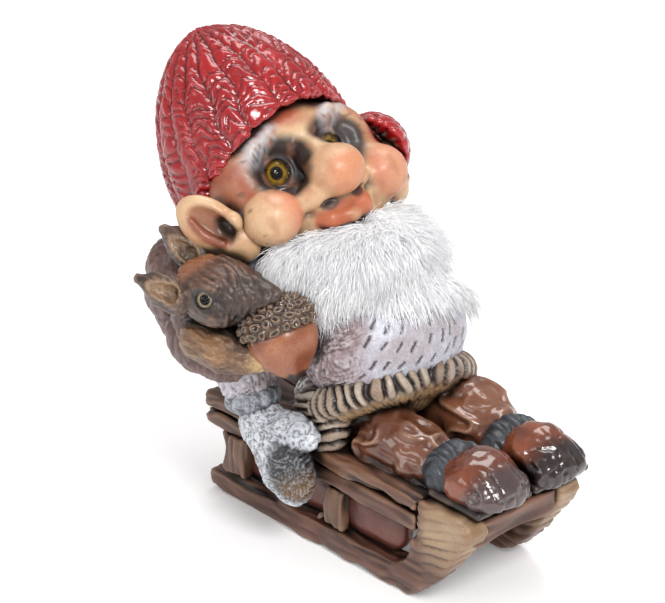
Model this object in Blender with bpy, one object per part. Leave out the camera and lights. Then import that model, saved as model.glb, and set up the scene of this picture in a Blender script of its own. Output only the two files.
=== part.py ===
"""Garden gnome leaning back on a little wooden sled, with a squirrel and its acorn on one arm.

Modelled at real size with the gnome facing -Y and standing on z = 0. Lengths below are in millimetres and
become metres where a mesh is made. Each sub-part is a few simple solids joined together, and gives way to
the sub-parts made before it, so that every piece seats against its neighbours with a fine gap.
"""

import math

import bmesh
import bpy
from mathutils import Euler, Matrix, Vector

MM = 0.001
GAP = 0.3  # clearance that a carved piece keeps to its neighbour
FIT = 0.4  # clearance between the sled's timbers, a little more than GAP so that they need no carving

# Sled
HALF_WIDTH = 19.0
RUNNER_WIDTH = 7.0
RUNNER_HEIGHT = 6.2
REAR = 38.0
GROUND_FRONT = -35.0  # where the runner leaves the ground
TIP = -55.8  # foremost point of the curl
RAIL_Z = (18.6, 22.8)
BOARD_Z = (RAIL_Z[1] + FIT, 27.0)
DECK_TOP = BOARD_Z[1]
OUTER_BOARD_FRONT = -37.2
INNER_BOARD_FRONT = -48.4
PANEL_X = (12.8, 15.4)
POST_X = (PANEL_X[1] + FIT, HALF_WIDTH)

# Gnome
FACE_ORIGIN = (0.0, 14.0, 83.0)  # midway between the cheeks
HEAD_PITCH = -30.0  # the head is tipped back
HEAD_ROLL = -6.0  # and towards the squirrel
EYE_X = {"right": -9.1, "left": 8.2}
EYE_RADIUS = 3.2
EAR_Z = {"right": 3.4, "left": -4.0}  # the cap is pulled down over the left one
CHEEK_X = {"right": -19.2, "left": 17.6}
CAP_LEAN = -2.0  # the cap leans a little further back than the head
CAP_TIP = -3.0
TORSO_LEAN = -26.0
PELVIS_YAW = -12.0  # the hips are turned a little towards the squirrel
HEM_TILT = -36.0
FOOT_X = {"right": -6.6, "left": 12.6}
SOLE_Z = (DECK_TOP + FIT, DECK_TOP + 2.4)

# Squirrel
SQUIRREL_EYE_RADIUS = 2.0

FACE = Matrix.Translation(FACE_ORIGIN) @ Euler(
    (math.radians(HEAD_PITCH), math.radians(HEAD_ROLL), 0.0)
).to_matrix().to_4x4()

COLOURS = {
    "timber": ((0.33, 0.20, 0.13), 0.55),
    "timber_pale": ((0.55, 0.42, 0.26), 0.55),
    "panel": ((0.27, 0.12, 0.08), 0.45),
    "skin": ((0.80, 0.45, 0.28), 0.40),
    "cap_red": ((0.55, 0.03, 0.04), 0.30),
    "wool_white": ((0.62, 0.58, 0.60), 0.60),
    "rib_brown": ((0.42, 0.33, 0.25), 0.55),
    "mitten_grey": ((0.58, 0.58, 0.60), 0.60),
    "cuff_dark": ((0.16, 0.16, 0.17), 0.60),
    "leather": ((0.42, 0.18, 0.09), 0.40),
    "boot_brown": ((0.28, 0.12, 0.07), 0.25),
    "sole_dark": ((0.10, 0.07, 0.06), 0.35),
    "fur_white": ((0.85, 0.85, 0.86), 0.80),
    "squirrel_brown": ((0.25, 0.12, 0.07), 0.50),
    "acorn_cup": ((0.12, 0.07, 0.04), 0.45),
    "acorn_nut": ((0.55, 0.22, 0.09), 0.35),
    "glass": ((0.90, 0.90, 0.85), 0.03),
    "iris_amber": ((0.55, 0.40, 0.05), 0.20),
}

figure = None  # the empty that carries every piece
made = []  # (object, its shape makers), in the order made


# ---------------------------------------------------------------- simple solids, each as a function of grow


def about(centre, turn=(0.0, 0.0, 0.0), base=None):
    """Matrix that puts a shape at centre, turned by degrees about X, Y and Z, inside the frame base."""
    spun = Euler([math.radians(a) for a in turn]).to_matrix().to_4x4()
    return (base or Matrix.Identity(4)) @ Matrix.Translation(centre) @ spun


def aim(centre, direction):
    """Matrix that puts a shape at centre with its Z along direction."""
    return Matrix.Translation(centre) @ Vector(direction).to_track_quat("Z", "Y").to_matrix().to_4x4()


def scaled(mesh_builder, matrix):
    """Runs mesh_builder on a new bmesh, moves it by matrix, and returns the bmesh in metres."""
    solid = bmesh.new()
    mesh_builder(solid)
    solid.transform(Matrix.Scale(MM, 4) @ matrix)
    bmesh.ops.recalc_face_normals(solid, faces=solid.faces)
    return solid


def egg(centre, radii, turn=(0.0, 0.0, 0.0), base=None, segments=12, rings=8):
    """An ellipsoid."""

    def make(grow):
        sizes = Matrix.Diagonal((*[r + grow for r in radii], 1.0))
        return scaled(
            lambda solid: bmesh.ops.create_uvsphere(
                solid, u_segments=segments, v_segments=rings, radius=1.0
            ),
            about(centre, turn, base) @ sizes,
        )

    return make


def skin_rings(solid, rings):
    """Closes a list of rings of equal length, the first and last being single points, into a solid."""
    verts = [[solid.verts.new(p) for p in ring] for ring in rings]
    for low, high in zip(verts, verts[1:]):
        count = max(len(low), len(high))
        for i in range(count):
            j = (i + 1) % count
            if len(low) == 1:
                solid.faces.new((low[0], high[i], high[j]))
            elif len(high) == 1:
                solid.faces.new((low[j], low[i], high[0]))
            else:
                solid.faces.new((low[j], low[i], high[i], high[j]))


def turned(profile, matrix, segments=20):
    """A turned solid about matrix's Z. The profile lists (radius, height), and its ends lie on the axis."""
    middle = sum(h for _, h in profile) / len(profile)

    def make(grow):
        rings = []
        for radius, height in profile:
            height += grow if height > middle else -grow
            if radius == 0.0:
                rings.append([Vector((0.0, 0.0, height))])
                continue
            angles = [2.0 * math.pi * i / segments for i in range(segments)]
            wide = radius + grow
            rings.append([Vector((wide * math.cos(a), wide * math.sin(a), height)) for a in angles])
        return scaled(lambda solid: skin_rings(solid, rings), matrix)

    return make


def limb(stations, segments=10, flat=1.0, base=None):
    """A tapering limb through stations (x, y, z, radius) with rounded ends. flat thins it along X."""

    def make(grow):
        points = [Vector(s[:3]) for s in stations]
        radii = [s[3] + grow for s in stations]
        tangents = []
        for i in range(len(points)):
            before, after = points[max(i - 1, 0)], points[min(i + 1, len(points) - 1)]
            tangents.append((after - before).normalized())
        first, last = (points[0], radii[0], tangents[0]), (points[-1], radii[-1], tangents[-1])
        frames = [(first[0] - first[2] * first[1] * 0.7, first[1] * 0.7, first[2])]
        frames += list(zip(points, radii, tangents))
        frames.append((last[0] + last[2] * last[1] * 0.7, last[1] * 0.7, last[2]))
        side = Vector((1.0, 0.0, 0.0))
        rings = [[first[0] - first[2] * first[1]]]
        for point, radius, tangent in frames:
            across = (side - tangent * side.dot(tangent)).normalized()
            up = tangent.cross(across)
            ring = []
            for i in range(segments):
                angle = 2.0 * math.pi * i / segments
                ring.append(point + radius * (flat * math.cos(angle) * across + math.sin(angle) * up))
            rings.append(ring)
            side = across
        rings.append([last[0] + last[2] * last[1]])
        return scaled(lambda solid: skin_rings(solid, rings), base or Matrix.Identity(4))

    return make


def bar(low, high, bevel=0.8):
    """A squared timber between two corners, with its edges taken off."""

    def make(grow):
        def build(solid):
            size = [h - l + 2.0 * grow for l, h in zip(low, high)]
            middle = [(l + h) / 2.0 for l, h in zip(low, high)]
            matrix = Matrix.Translation(middle) @ Matrix.Diagonal((*size, 1.0))
            bmesh.ops.create_cube(solid, size=1.0, matrix=matrix)
            bmesh.ops.bevel(
                solid, geom=solid.edges[:], offset=bevel, segments=1, affect="EDGES", profile=0.5
            )

        return scaled(build, Matrix.Identity(4))

    return make


def offset(outline, distance):
    """Moves each (y, z) point of an outline that runs clockwise outwards, keeping its sides parallel."""
    points = [Vector(p) for p in outline]
    moved = []
    for i, point in enumerate(points):
        before = (point - points[i - 1]).normalized()
        after = (points[(i + 1) % len(points)] - point).normalized()
        first, second = Vector((-before.y, before.x)), Vector((-after.y, after.x))
        moved.append(point + (first + second) * distance / (1.0 + first.dot(second)))
    return moved


def plank(outline, side, x_low, x_high, bevel=0.9):
    """An outline of (y, z) points given thickness along X, between x_low and x_high on one side of the sled."""

    def make(grow):
        def build(solid):
            near, far = side * (x_low - grow), side * (x_high + grow)
            ring = [solid.verts.new((near, p.x, p.y)) for p in offset(outline, grow)]
            face = solid.faces.new(ring)
            grown = bmesh.ops.extrude_face_region(solid, geom=[face])
            moved = [v for v in grown["geom"] if isinstance(v, bmesh.types.BMVert)]
            bmesh.ops.translate(solid, verts=moved, vec=(far - near, 0.0, 0.0))
            if grow == 0.0:
                rims = [e for e in solid.edges if abs(e.verts[0].co.x - e.verts[1].co.x) < 1e-6]
                bmesh.ops.bevel(solid, geom=rims, offset=bevel, segments=1, affect="EDGES", profile=0.5)

        return scaled(build, Matrix.Identity(4))

    return make


# ---------------------------------------------------------------- putting solids together


def as_object(name, solid):
    mesh = bpy.data.meshes.new(name)
    solid.to_mesh(mesh)
    solid.free()
    obj = bpy.data.objects.new(name, mesh)
    bpy.context.scene.collection.objects.link(obj)
    return obj


def span(objects):
    """Lowest and highest corner of some objects' meshes."""
    points = [v.co for o in objects for v in o.data.vertices]
    return [min(p[i] for p in points) for i in range(3)], [max(p[i] for p in points) for i in range(3)]


def boxes_meet(a, b):
    return all(a[0][i] < b[1][i] and b[0][i] < a[1][i] for i in range(3))


def largest_body(mesh):
    """Drops the crumbs that carving can leave, keeping the body of the largest volume."""
    solid = bmesh.new()
    solid.from_mesh(mesh)
    todo, bodies = set(solid.faces), []
    while todo:
        body, edge = set(), [todo.pop()]
        while edge:
            face = edge.pop()
            body.add(face)
            for link in (f for e in face.edges for f in e.link_faces if f in todo):
                todo.discard(link)
                edge.append(link)
        bodies.append(body)

    def volume(body):
        return sum(f.calc_center_median().dot(f.normal) * f.calc_area() for f in body) / 3.0

    keep = max(bodies, key=volume)
    crumbs = [f for body in bodies if body is not keep for f in body]
    bmesh.ops.delete(solid, geom=crumbs, context="FACES")
    bmesh.ops.triangulate(solid, faces=solid.faces)
    solid.to_mesh(mesh)
    solid.free()


def material(slot):
    found = bpy.data.materials.get(slot)
    if found:
        return found
    colour, roughness = COLOURS[slot]
    found = bpy.data.materials.new(slot)
    found.use_nodes = True
    shader = found.node_tree.nodes["Principled BSDF"]
    shader.inputs["Base Color"].default_value = (*colour, 1.0)
    shader.inputs["Roughness"].default_value = roughness
    return found


def add(name, slot, *shapes, cut=()):
    """Joins the shapes into one solid, takes out cut and each neighbour made before, and keeps it as a piece."""
    solids = [as_object(f"{name}_{i}", shape(0.0)) for i, shape in enumerate(shapes)]
    room = span(solids)
    cutters = [as_object(f"{name}_cut{i}", shape(0.0)) for i, shape in enumerate(cut)]
    for other, other_shapes in made:
        if not boxes_meet(room, span([other])):
            continue
        for i, shape in enumerate(other_shapes):
            cutter = as_object(f"{name}_by_{other.name}{i}", shape(GAP))
            if boxes_meet(room, span([cutter])):
                cutters.append(cutter)
            else:
                bpy.data.objects.remove(cutter)
    obj = solids[0]
    for operation, tools in (("UNION", solids[1:]), ("DIFFERENCE", cutters)):
        for tool in tools:
            boolean = obj.modifiers.new(operation, "BOOLEAN")
            boolean.operation = operation
            boolean.object = tool
            boolean.solver = "EXACT"
    graph = bpy.context.evaluated_depsgraph_get()
    mesh = bpy.data.meshes.new_from_object(obj.evaluated_get(graph))
    for spent in solids + cutters:
        bpy.data.objects.remove(spent)
    largest_body(mesh)
    mesh.shade_smooth()
    mesh.set_sharp_from_angle(angle=math.radians(35.0))
    mesh.materials.clear()
    mesh.materials.append(material(slot))
    mesh.name = name
    piece = bpy.data.objects.new(name, mesh)
    piece.parent = figure
    bpy.context.scene.collection.objects.link(piece)
    made.append((piece, shapes))
    return piece


# ---------------------------------------------------------------- sled


def arc(centre, radius, start, end, steps):
    """Points (y, z) on an arc, angles in degrees."""
    angles = [math.radians(start + (end - start) * i / steps) for i in range(steps + 1)]
    return [(centre[0] + radius * math.cos(a), centre[1] + radius * math.sin(a)) for a in angles]


def runner_outline():
    """Side of a runner: flat on the ground, curling up in front into a block that reaches the deck."""
    window = arc((-26.5, 16.0), 9.4, 180.0, 270.0, 3)
    heel = arc((REAR - 3.0, 3.0), 3.0, 90.0, -60.0, 3)
    return [
        (GROUND_FRONT, 0.0),
        (GROUND_FRONT - 5.6, 3.8),
        (GROUND_FRONT - 10.8, 9.2),
        (GROUND_FRONT - 15.0, 15.0),
        (TIP + 2.0, 20.2),
        (TIP, 24.0),
        (TIP + 1.2, 26.4),
        (TIP + 5.0, DECK_TOP),
        (OUTER_BOARD_FRONT - FIT, DECK_TOP),
        (OUTER_BOARD_FRONT - FIT, 18.4),
        *window,
        *heel,
        (REAR - 3.0, 0.0),
    ]


def make_sled():
    sides = (("right", -1.0), ("left", 1.0))
    inner = HALF_WIDTH - RUNNER_WIDTH
    # The bar is let into the right runner's inner corner.
    add("foot_bar", "timber", bar((-15.4, -54.6, 19.8), (inner - FIT, INNER_BOARD_FRONT - FIT, 26.2), bevel=0.8))
    for label, side in sides:
        add(f"runner_{label}", "timber_pale", plank(runner_outline(), side, inner, HALF_WIDTH, 1.3))
    posts = {
        "rear_post": [(24.0, 18.2), (33.0, 18.2), (33.0, RUNNER_HEIGHT + 0.8), (24.0, RUNNER_HEIGHT + 0.8)],
        "middle_post": [(-12.0, 18.2), (-5.6, 18.2), (-5.0, 12.0), (-1.5, 7.0), (-11.4, 7.0)],
    }
    for label, side in sides:
        rail_low, rail_high = sorted((side * PANEL_X[0], side * HALF_WIDTH))
        add(
            f"side_rail_{label}",
            "timber",
            bar((rail_low, OUTER_BOARD_FRONT, RAIL_Z[0]), (rail_high, REAR + 0.4, RAIL_Z[1])),
        )
        panel_outline = [(-30.0, 18.2), (31.0, 18.2), (31.0, 7.0), (-27.0, 7.0), (-30.0, 12.0)]
        add(f"side_panel_{label}", "panel", plank(panel_outline, side, *PANEL_X))
        for post, outline in posts.items():
            add(f"{post}_{label}", "timber", plank(outline, side, *POST_X))
    bearer_x = PANEL_X[0] - FIT
    for label, front, depth in (("rear", 29.0, 7.0), ("middle", -8.0, 7.0), ("front", -46.0, 6.0)):
        reach = bearer_x if label != "front" else inner - FIT
        add(
            f"{label}_cross_bearer",
            "timber",
            bar((-reach, front, RAIL_Z[0]), (reach, front + depth, RAIL_Z[1])),
        )
    for label, side in sides:
        low, high = sorted((side * FIT / 2.0, side * (inner - FIT / 2.0)))
        add(
            f"inner_deck_board_{label}",
            "timber",
            bar((low, INNER_BOARD_FRONT, BOARD_Z[0]), (high, REAR, BOARD_Z[1])),
        )
        low, high = sorted((side * (inner + FIT / 2.0), side * HALF_WIDTH))
        add(
            f"outer_deck_board_{label}",
            "timber",
            bar((low, OUTER_BOARD_FRONT, BOARD_Z[0]), (high, REAR + 0.6, BOARD_Z[1])),
        )


# ---------------------------------------------------------------- gnome


def glass_eye(name, seat, radius, dome, segments=20):
    """A cabochon with its painted iris behind it. Seat is the matrix of its back face, Z looking out."""
    cap = [(0.0, 0.0), (radius, 0.0), (radius, 0.25 * dome)]
    for step in range(1, 4):
        angle = math.radians(90.0 * step / 4.0)
        cap.append((radius * math.cos(angle), dome * (0.25 + 0.75 * math.sin(angle))))
    cap.append((0.0, dome))
    add(f"{name}_glass", "glass", turned(cap, seat, segments))
    disc = [(0.0, -0.8), (0.9 * radius, -0.8), (0.9 * radius, 0.0), (0.0, 0.0)]
    behind = seat @ Matrix.Translation((0.0, 0.0, -FIT))
    add(f"{name}_iris", "iris_amber", turned(disc, behind, segments))


def make_head():
    for label, x in EYE_X.items():
        seat = FACE @ aim((x, 2.6, 10.4), (0.013 * x, -1.0, 0.02))
        glass_eye(f"eye_{label}", seat, EYE_RADIUS, 2.6)
    add(
        "head",
        "skin",
        egg((0.0, 16.0, 7.0), (23.4, 17.0, 19.0), base=FACE, segments=18, rings=10),
        egg((0.0, 9.0, -6.0), (20.0, 13.0, 11.0), base=FACE, segments=14),
        *[egg((x, 0.5, 0.0), (8.2, 8.2, 8.0), base=FACE) for x in CHEEK_X.values()],
        egg((0.0, 0.5, -4.0), (13.0, 5.5, 6.5), base=FACE),
        limb([(0.0, 1.5, 15.0, 4.0), (0.0, -2.5, 9.5, 4.8), (0.0, -6.0, 6.0, 6.0)], base=FACE),
        egg((0.0, -7.8, 4.6), (8.4, 7.8, 7.4), base=FACE, segments=16, rings=10),
    )
    for label, side in (("right", -1.0), ("left", 1.0)):
        z = EAR_Z[label]
        add(
            f"ear_{label}",
            "skin",
            egg((side * 29.5, 8.5, z), (3.6, 8.6, 10.6), turn=(0.0, side * 8.0, side * -42.0), base=FACE),
            egg((side * 24.5, 6.0, z - 6.0), (4.0, 5.0, 6.0), base=FACE),
        )


def make_legs():
    for label, x in FOOT_X.items():
        add(
            f"boot_sole_{label}",
            "sole_dark",
            bar((x - 9.2, -55.4, SOLE_Z[0]), (x + 9.2, -38.0, SOLE_Z[1]), 0.9),
        )
        add(
            f"boot_{label}",
            "boot_brown",
            egg((x, -46.8, 31.8), (9.1, 10.4, 8.0), turn=(10.0, 0.0, 0.0), segments=14),
        )
        add(
            f"ankle_wrap_{label}",
            "cuff_dark",
            egg((x, -37.4, 31.0), (8.2, 4.6, 7.2), turn=(-16.0, 0.0, 0.0)),
        )
    for label, x in FOOT_X.items():
        hip = 0.85 * x
        add(
            f"trouser_leg_{label}",
            "leather",
            limb([(hip, -4.0, 32.4, 8.0), (x, -17.0, 31.6, 8.4), (x, -26.0, 30.6, 7.8), (x, -34.0, 30.0, 6.2)]),
        )


def make_torso():
    pelvis = about((1.6, -7.6, 38.5), (0.0, 0.0, PELVIS_YAW))
    hem = [(0.0, -4.6), (18.8, -4.6), (21.6, -3.2), (22.0, 1.6), (19.0, 4.4), (0.0, 4.4)]
    tilted = pelvis @ about((0.0, 0.0, 0.0), (HEM_TILT, 0.0, 0.0)) @ Matrix.Diagonal((1.0, 0.74, 1.0, 1.0))
    sides = [egg((side * 17.6, 4.0, -5.6), (4.4, 8.4, 7.4), base=pelvis) for side in (-1.0, 1.0)]
    add("sweater_hem", "rib_brown", turned(hem, tilted, 24), *sides)
    add("trouser_seat", "leather", egg((0.8, 2.0, 34.0), (17.5, 15.0, 9.0), segments=18))
    add(
        "sweater_body",
        "wool_white",
        egg((0.0, 4.0, 12.0), (21.6, 17.0, 16.0), turn=(TORSO_LEAN, 0.0, 0.0), base=pelvis, segments=20),
        egg((-0.6, 18.0, 24.0), (18.5, 15.0, 15.0), turn=(TORSO_LEAN, 0.0, 0.0), base=pelvis, segments=18),
    )


def make_squirrel():
    cup_axis = (0.0, -0.5, -0.86)
    cup_seat = aim((-26.6, 2.4, 61.0), cup_axis)
    cup = [(0.0, -7.6), (4.5, -7.0), (8.2, -4.8), (9.9, -1.4), (9.8, 0.6), (0.0, 0.6)]
    nut = [(0.0, 1.0), (8.6, 1.0), (8.8, 3.6), (7.6, 7.2), (4.8, 10.2), (1.6, 11.8), (0.0, 12.6)]
    add("acorn_cup", "acorn_cup", turned(cup, cup_seat, 18))
    add("acorn_nut", "acorn_nut", turned(nut, cup_seat, 18))
    head_turn = (-8.0, 0.0, 8.0)
    for label, x, aside in (("right", -41.2, -1.0), ("left", -26.0, 1.0)):
        seat = aim((x, 12.0, 69.6), (aside, -0.36, 0.22))
        glass_eye(f"squirrel_eye_{label}", seat, SQUIRREL_EYE_RADIUS, 1.4, segments=14)
    add(
        "squirrel_head",
        "squirrel_brown",
        egg((-33.6, 16.0, 68.0), (8.6, 12.5, 8.6), turn=head_turn, segments=14),
        egg((-30.4, 8.0, 68.6), (5.2, 7.5, 5.2), turn=head_turn),
    )
    ears = {
        "right": [(-39.0, 23.0, 66.0, 5.4), (-41.6, 26.6, 67.4, 4.2), (-45.0, 32.0, 69.2, 1.2)],
        "left": [(-31.0, 26.0, 72.4, 4.8), (-32.8, 29.6, 75.4, 4.0), (-35.2, 33.6, 78.6, 1.4)],
    }
    for label, stations in ears.items():
        add(f"squirrel_ear_{label}", "squirrel_brown", limb(stations, flat=0.7))
    arms = {
        "right": [(-36.0, 19.0, 55.0, 5.8), (-35.6, 11.0, 54.6, 5.4), (-34.2, 5.5, 54.2, 3.6), (-32.6, 2.0, 54.2, 2.6)],
        "left": [(-21.0, 17.0, 59.0, 4.0), (-15.4, 8.0, 64.5, 3.2), (-15.6, 2.5, 67.0, 2.6)],
    }
    for label, stations in arms.items():
        add(f"squirrel_arm_{label}", "squirrel_brown", limb(stations))
    add(
        "squirrel_hind_leg",
        "squirrel_brown",
        egg((-33.2, 25.4, 51.0), (6.0, 9.0, 7.4), turn=(25.0, 0.0, 0.0)),
        limb([(-33.4, 22.0, 48.0, 4.2), (-32.0, 17.5, 46.4, 3.2), (-30.6, 14.0, 45.8, 2.4)]),
    )
    add("squirrel_body", "squirrel_brown", egg((-28.0, 23.0, 55.0), (11.0, 12.0, 14.5), turn=(-12.0, 0.0, 0.0)))
    add(
        "squirrel_tail",
        "squirrel_brown",
        limb(
            [
                (-24.0, 34.0, 44.0, 4.0),
                (-27.0, 36.5, 50.0, 5.4),
                (-28.5, 38.0, 58.0, 7.0),
                (-28.5, 37.6, 66.0, 6.4),
                (-27.6, 35.0, 71.0, 4.0),
            ],
            segments=12,
        ),
    )


def make_arms():
    for label, side in (("right", -1.0), ("left", 1.0)):
        add(
            f"mitten_{label}",
            "mitten_grey",
            egg((side * 25.2, 2.0, 24.2), (5.7, 7.6, 11.4), turn=(-34.0, 0.0, 0.0)),
            egg((side * 25.0, 9.5, 31.0), (5.6, 7.0, 6.6)),
            egg((side * 24.6, -0.5, 33.0), (4.8, 8.0, 4.6)),
        )
        add(f"mitten_cuff_{label}", "cuff_dark", egg((side * 25.0, 13.6, 37.4), (6.8, 7.2, 4.6), turn=(-24.0, 0.0, 0.0)))
        add(
            f"sleeve_{label}",
            "wool_white",
            limb(
                [
                    (side * 16.0, 20.0, 64.0, 8.6),
                    (side * 22.0, 20.0, 54.0, 8.2),
                    (side * 24.0, 17.0, 44.0, 7.2),
                    (side * 25.0, 14.5, 39.5, 6.2),
                ],
                segments=12,
            ),
        )


def make_cap():
    profile = [(0.0, -5.0), (23.0, -5.0), (25.0, 0.0), (25.4, 8.0), (24.8, 17.0), (22.8, 26.0)]
    profile += [(19.4, 34.0), (14.4, 41.0), (8.0, 46.6), (0.0, 49.2)]
    crown = FACE @ about((0.4, 18.0, 0.4), (CAP_LEAN, CAP_TIP, 0.0)) @ Matrix.Diagonal((1.0, 0.88, 1.0, 1.0))
    brow = limb([(0.0, -30.0, -5.0, 29.5), (0.0, 6.0, -5.0, 29.5)], 20, base=FACE)
    flap = egg((27.6, 12.5, 3.6), (8.4, 13.5, 9.4), turn=(0.0, 12.0, -28.0), base=FACE)
    add("cap", "cap_red", turned(profile, crown, 24), flap, cut=[brow])


def make_beard():
    add(
        "beard",
        "fur_white",
        egg((0.0, 3.0, -15.0), (22.5, 9.5, 9.5), base=FACE, segments=16),
        egg((2.0, -1.0, 68.0), (19.0, 11.0, 13.0), turn=(20.0, 0.0, 0.0), segments=16),
        egg((6.0, -9.0, 60.0), (15.0, 8.5, 8.5), turn=(20.0, 0.0, 0.0)),
    )


def centre_on_origin():
    """Moves the whole figure so that the middle of its footprint box is the origin."""
    low, high = span([piece for piece, _ in made])
    figure.location = (-(low[0] + high[0]) / 2.0, -(low[1] + high[1]) / 2.0, -low[2])


def main():
    global figure
    for obj in list(bpy.data.objects):
        bpy.data.objects.remove(obj)
    figure = bpy.data.objects.new("figure", None)
    bpy.context.scene.collection.objects.link(figure)
    make_sled()
    make_head()
    make_legs()
    make_torso()
    make_squirrel()
    make_arms()
    make_cap()
    make_beard()
    centre_on_origin()


main()
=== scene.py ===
"""Looks of the garden gnome on its sled: cast resin, hand painted, with a fur beard and glass eyes.

Every sub-part is sculpted as a distance field in the figure's own millimetres, turned into a mesh, given its
relief along the surface and painted by where the relief is high or low. The figure faces -Y.
"""

import math
from functools import partial

import bpy
import numpy as np
import openvdb
from mathutils import Euler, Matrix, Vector


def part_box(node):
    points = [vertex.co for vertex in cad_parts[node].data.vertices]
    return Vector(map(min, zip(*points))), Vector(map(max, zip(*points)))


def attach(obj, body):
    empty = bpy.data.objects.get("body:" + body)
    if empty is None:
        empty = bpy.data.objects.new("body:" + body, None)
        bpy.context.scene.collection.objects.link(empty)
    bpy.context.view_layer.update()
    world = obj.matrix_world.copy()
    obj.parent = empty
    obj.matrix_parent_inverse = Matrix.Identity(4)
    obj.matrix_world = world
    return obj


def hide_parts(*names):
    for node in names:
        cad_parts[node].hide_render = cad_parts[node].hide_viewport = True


MM = 0.001
SIDES = (("right", -1), ("left", 1))

# Sled, as in the CAD source
HALF_WIDTH = 19
RUNNER_WIDTH = 7
TIP = -55.8  # foremost point of the runners
DECK_TOP = 27

# Gnome, as in the CAD source, but for the right ear and the brows, which follow the photo
FACE_ORIGIN = np.array((0, 14, 83))
FACE_TURN = (-30, -6, 0)
EYE_X = {"right": -9.1, "left": 8.2}
EYE_RADIUS = 3.2
CHEEKS = (
    ((-17.8, -0.8, 1.4), (7.4, 7.2, 6.7)),
    ((17.5, 0.7, -0.5), (7.1, 7.1, 6.9)),
)
BROWS = (
    [(-7.4, 1.8, 20.6), (-12.4, 2.4, 18.8), (-17.2, 4.2, 13.4)],
    [(9.4, 1.2, 17), (12.2, 2.2, 19), (15.6, 5, 18)],
)
EARS = {
    "right": ((-28.8, 7.7, 5), (3.4, 6.4, 10.4)),
    "left": ((28.6, 10, -1.4), (3, 6, 8)),
}
CROWN = (0.4, 18, 0.4)
CROWN_TURN = (-2, -3, 0)
CROWN_DEPTH = 0.88
PELVIS = (1.6, -7.6, 38.5)
PELVIS_TURN = (0, 0, -12)
HEM_TILT = -36
TORSO_LEAN = -26
FOOT_X = {"right": -6.6, "left": 12.6}

# Squirrel, as in the CAD source
SQUIRREL_EYES = {"right": (-41.2, -1), "left": (-26, 1)}  # (x, which way along X it looks)
SQUIRREL_EYE_YZ = (12, 69.6)
CUP_SEAT = (-26.6, 2.4, 61)
CUP_AXIS = (0, -0.5, -0.86)

# Paint
CREAM = (0.8, 0.58, 0.36)
DARK = (0.02, 0.012, 0.01)
WHITE = (1, 1, 1, 1)
PAINT_LEVEL = 0.78  # all paint is a little darker than the tones below

CONTRAST = 1.12  # the power that all paint is raised to

# Meshes
FINE = 0.42  # cell of the meshes with small relief, in mm
CROWD_CELL = 1  # cell of the grid that says where pieces crowd together, in mm
CROWD_RANGE = (0.27, 0.62)  # share of filled space where the painted shade starts, and where it is full
TRIED_ROOTS = 30000
HAIRS = 11500

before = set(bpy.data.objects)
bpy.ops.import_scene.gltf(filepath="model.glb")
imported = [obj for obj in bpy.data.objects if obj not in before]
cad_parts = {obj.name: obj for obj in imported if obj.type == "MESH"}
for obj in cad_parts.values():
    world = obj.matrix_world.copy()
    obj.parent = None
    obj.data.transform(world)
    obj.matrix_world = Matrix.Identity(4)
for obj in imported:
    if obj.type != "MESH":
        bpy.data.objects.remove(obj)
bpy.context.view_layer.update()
noted = []  # the resin pieces still to be made


def figure_offset():
    """Where the figure's own origin lies in the row frame, in millimetres, from the left runner's box."""
    low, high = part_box("runner_left")
    return np.array((high.x / MM - HALF_WIDTH, low.y / MM - TIP, low.z / MM))


OFFSET = figure_offset()


# ---- numbers over space


def clamp(t):
    return np.clip(t, 0, 1)


def ramp(t, low, high):
    """0 below low, 1 above high, smooth between."""
    t = clamp((t - low) / (high - low))
    return t * t * (3 - 2 * t)


def lattice(cell, seed):
    """A fixed scattered number from 0 to 1 for each whole-number cell."""
    c = cell.astype(np.int64).astype(np.uint32)
    n = c[:, 0] * np.uint32(73856093) ^ c[:, 1] * np.uint32(19349663) ^ c[:, 2] * np.uint32(83492791)
    n = n ^ np.uint32((seed * 2654435761 + 1013) % 4294967296)
    n = (n ^ (n >> np.uint32(15))) * np.uint32(2246822519)
    n = (n ^ (n >> np.uint32(13))) * np.uint32(3266489917)
    return (n ^ (n >> np.uint32(16))).astype(np.float64) / 4294967295


def noise(p, size, seed=0):
    """Smooth noise from -1 to 1, its lumps about size across. Size is one length, or one for each axis."""
    q = p / np.asarray(size, float)
    cell = np.floor(q)
    t = q - cell
    t = t * t * (3 - 2 * t)
    total = np.zeros(len(p))
    for corner in np.ndindex(2, 2, 2):
        weight = np.prod(np.where(corner, t, 1 - t), axis=1)
        total += weight * lattice(cell + corner, seed)
    return 2 * total - 1


def rough(p, size, seed=0, octaves=3):
    """Noise with finer noise on it."""
    total, scale, most = 0, 1, 0
    for octave in range(octaves):
        total = total + scale * noise(p * 2**octave, size, seed + octave)
        most += scale
        scale *= 0.5
    return total / most


def mix(a, b, t):
    """Colour a turning into b as t goes from 0 to 1."""
    t = clamp(np.asarray(t, float))[..., None]
    return np.asarray(a, float) * (1 - t) + np.asarray(b, float) * t


def tones(p, a, b, spread, size, seed):
    """Patches of two colours."""
    return mix(a, b, 0.5 + spread * noise(p, size, seed))


# ---- distance fields, in millimetres


def spin(turn):
    return np.array(Euler([math.radians(a) for a in turn]).to_matrix())


def placed(p, centre, turn=(0, 0, 0)):
    """The points p in the axes of something at centre, turned by degrees about X, Y and Z."""
    return (p - np.asarray(centre, float)) @ spin(turn)


def aimed(p, centre, direction):
    """The points p in the axes of something at centre whose Z looks along direction."""
    axes = np.array(Vector(direction).to_track_quat("Z", "Y").to_matrix())
    return (p - np.asarray(centre, float)) @ axes


def face(p):
    return placed(p, FACE_ORIGIN, FACE_TURN)


def egg(p, centre, radii, turn=(0, 0, 0)):
    q = placed(p, centre, turn) / np.asarray(radii, float)
    near = np.sqrt((q * q).sum(1)) + 1e-9
    steep = np.sqrt(((q / np.asarray(radii, float)) ** 2).sum(1)) + 1e-9
    return near * (near - 1) / steep


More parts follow.
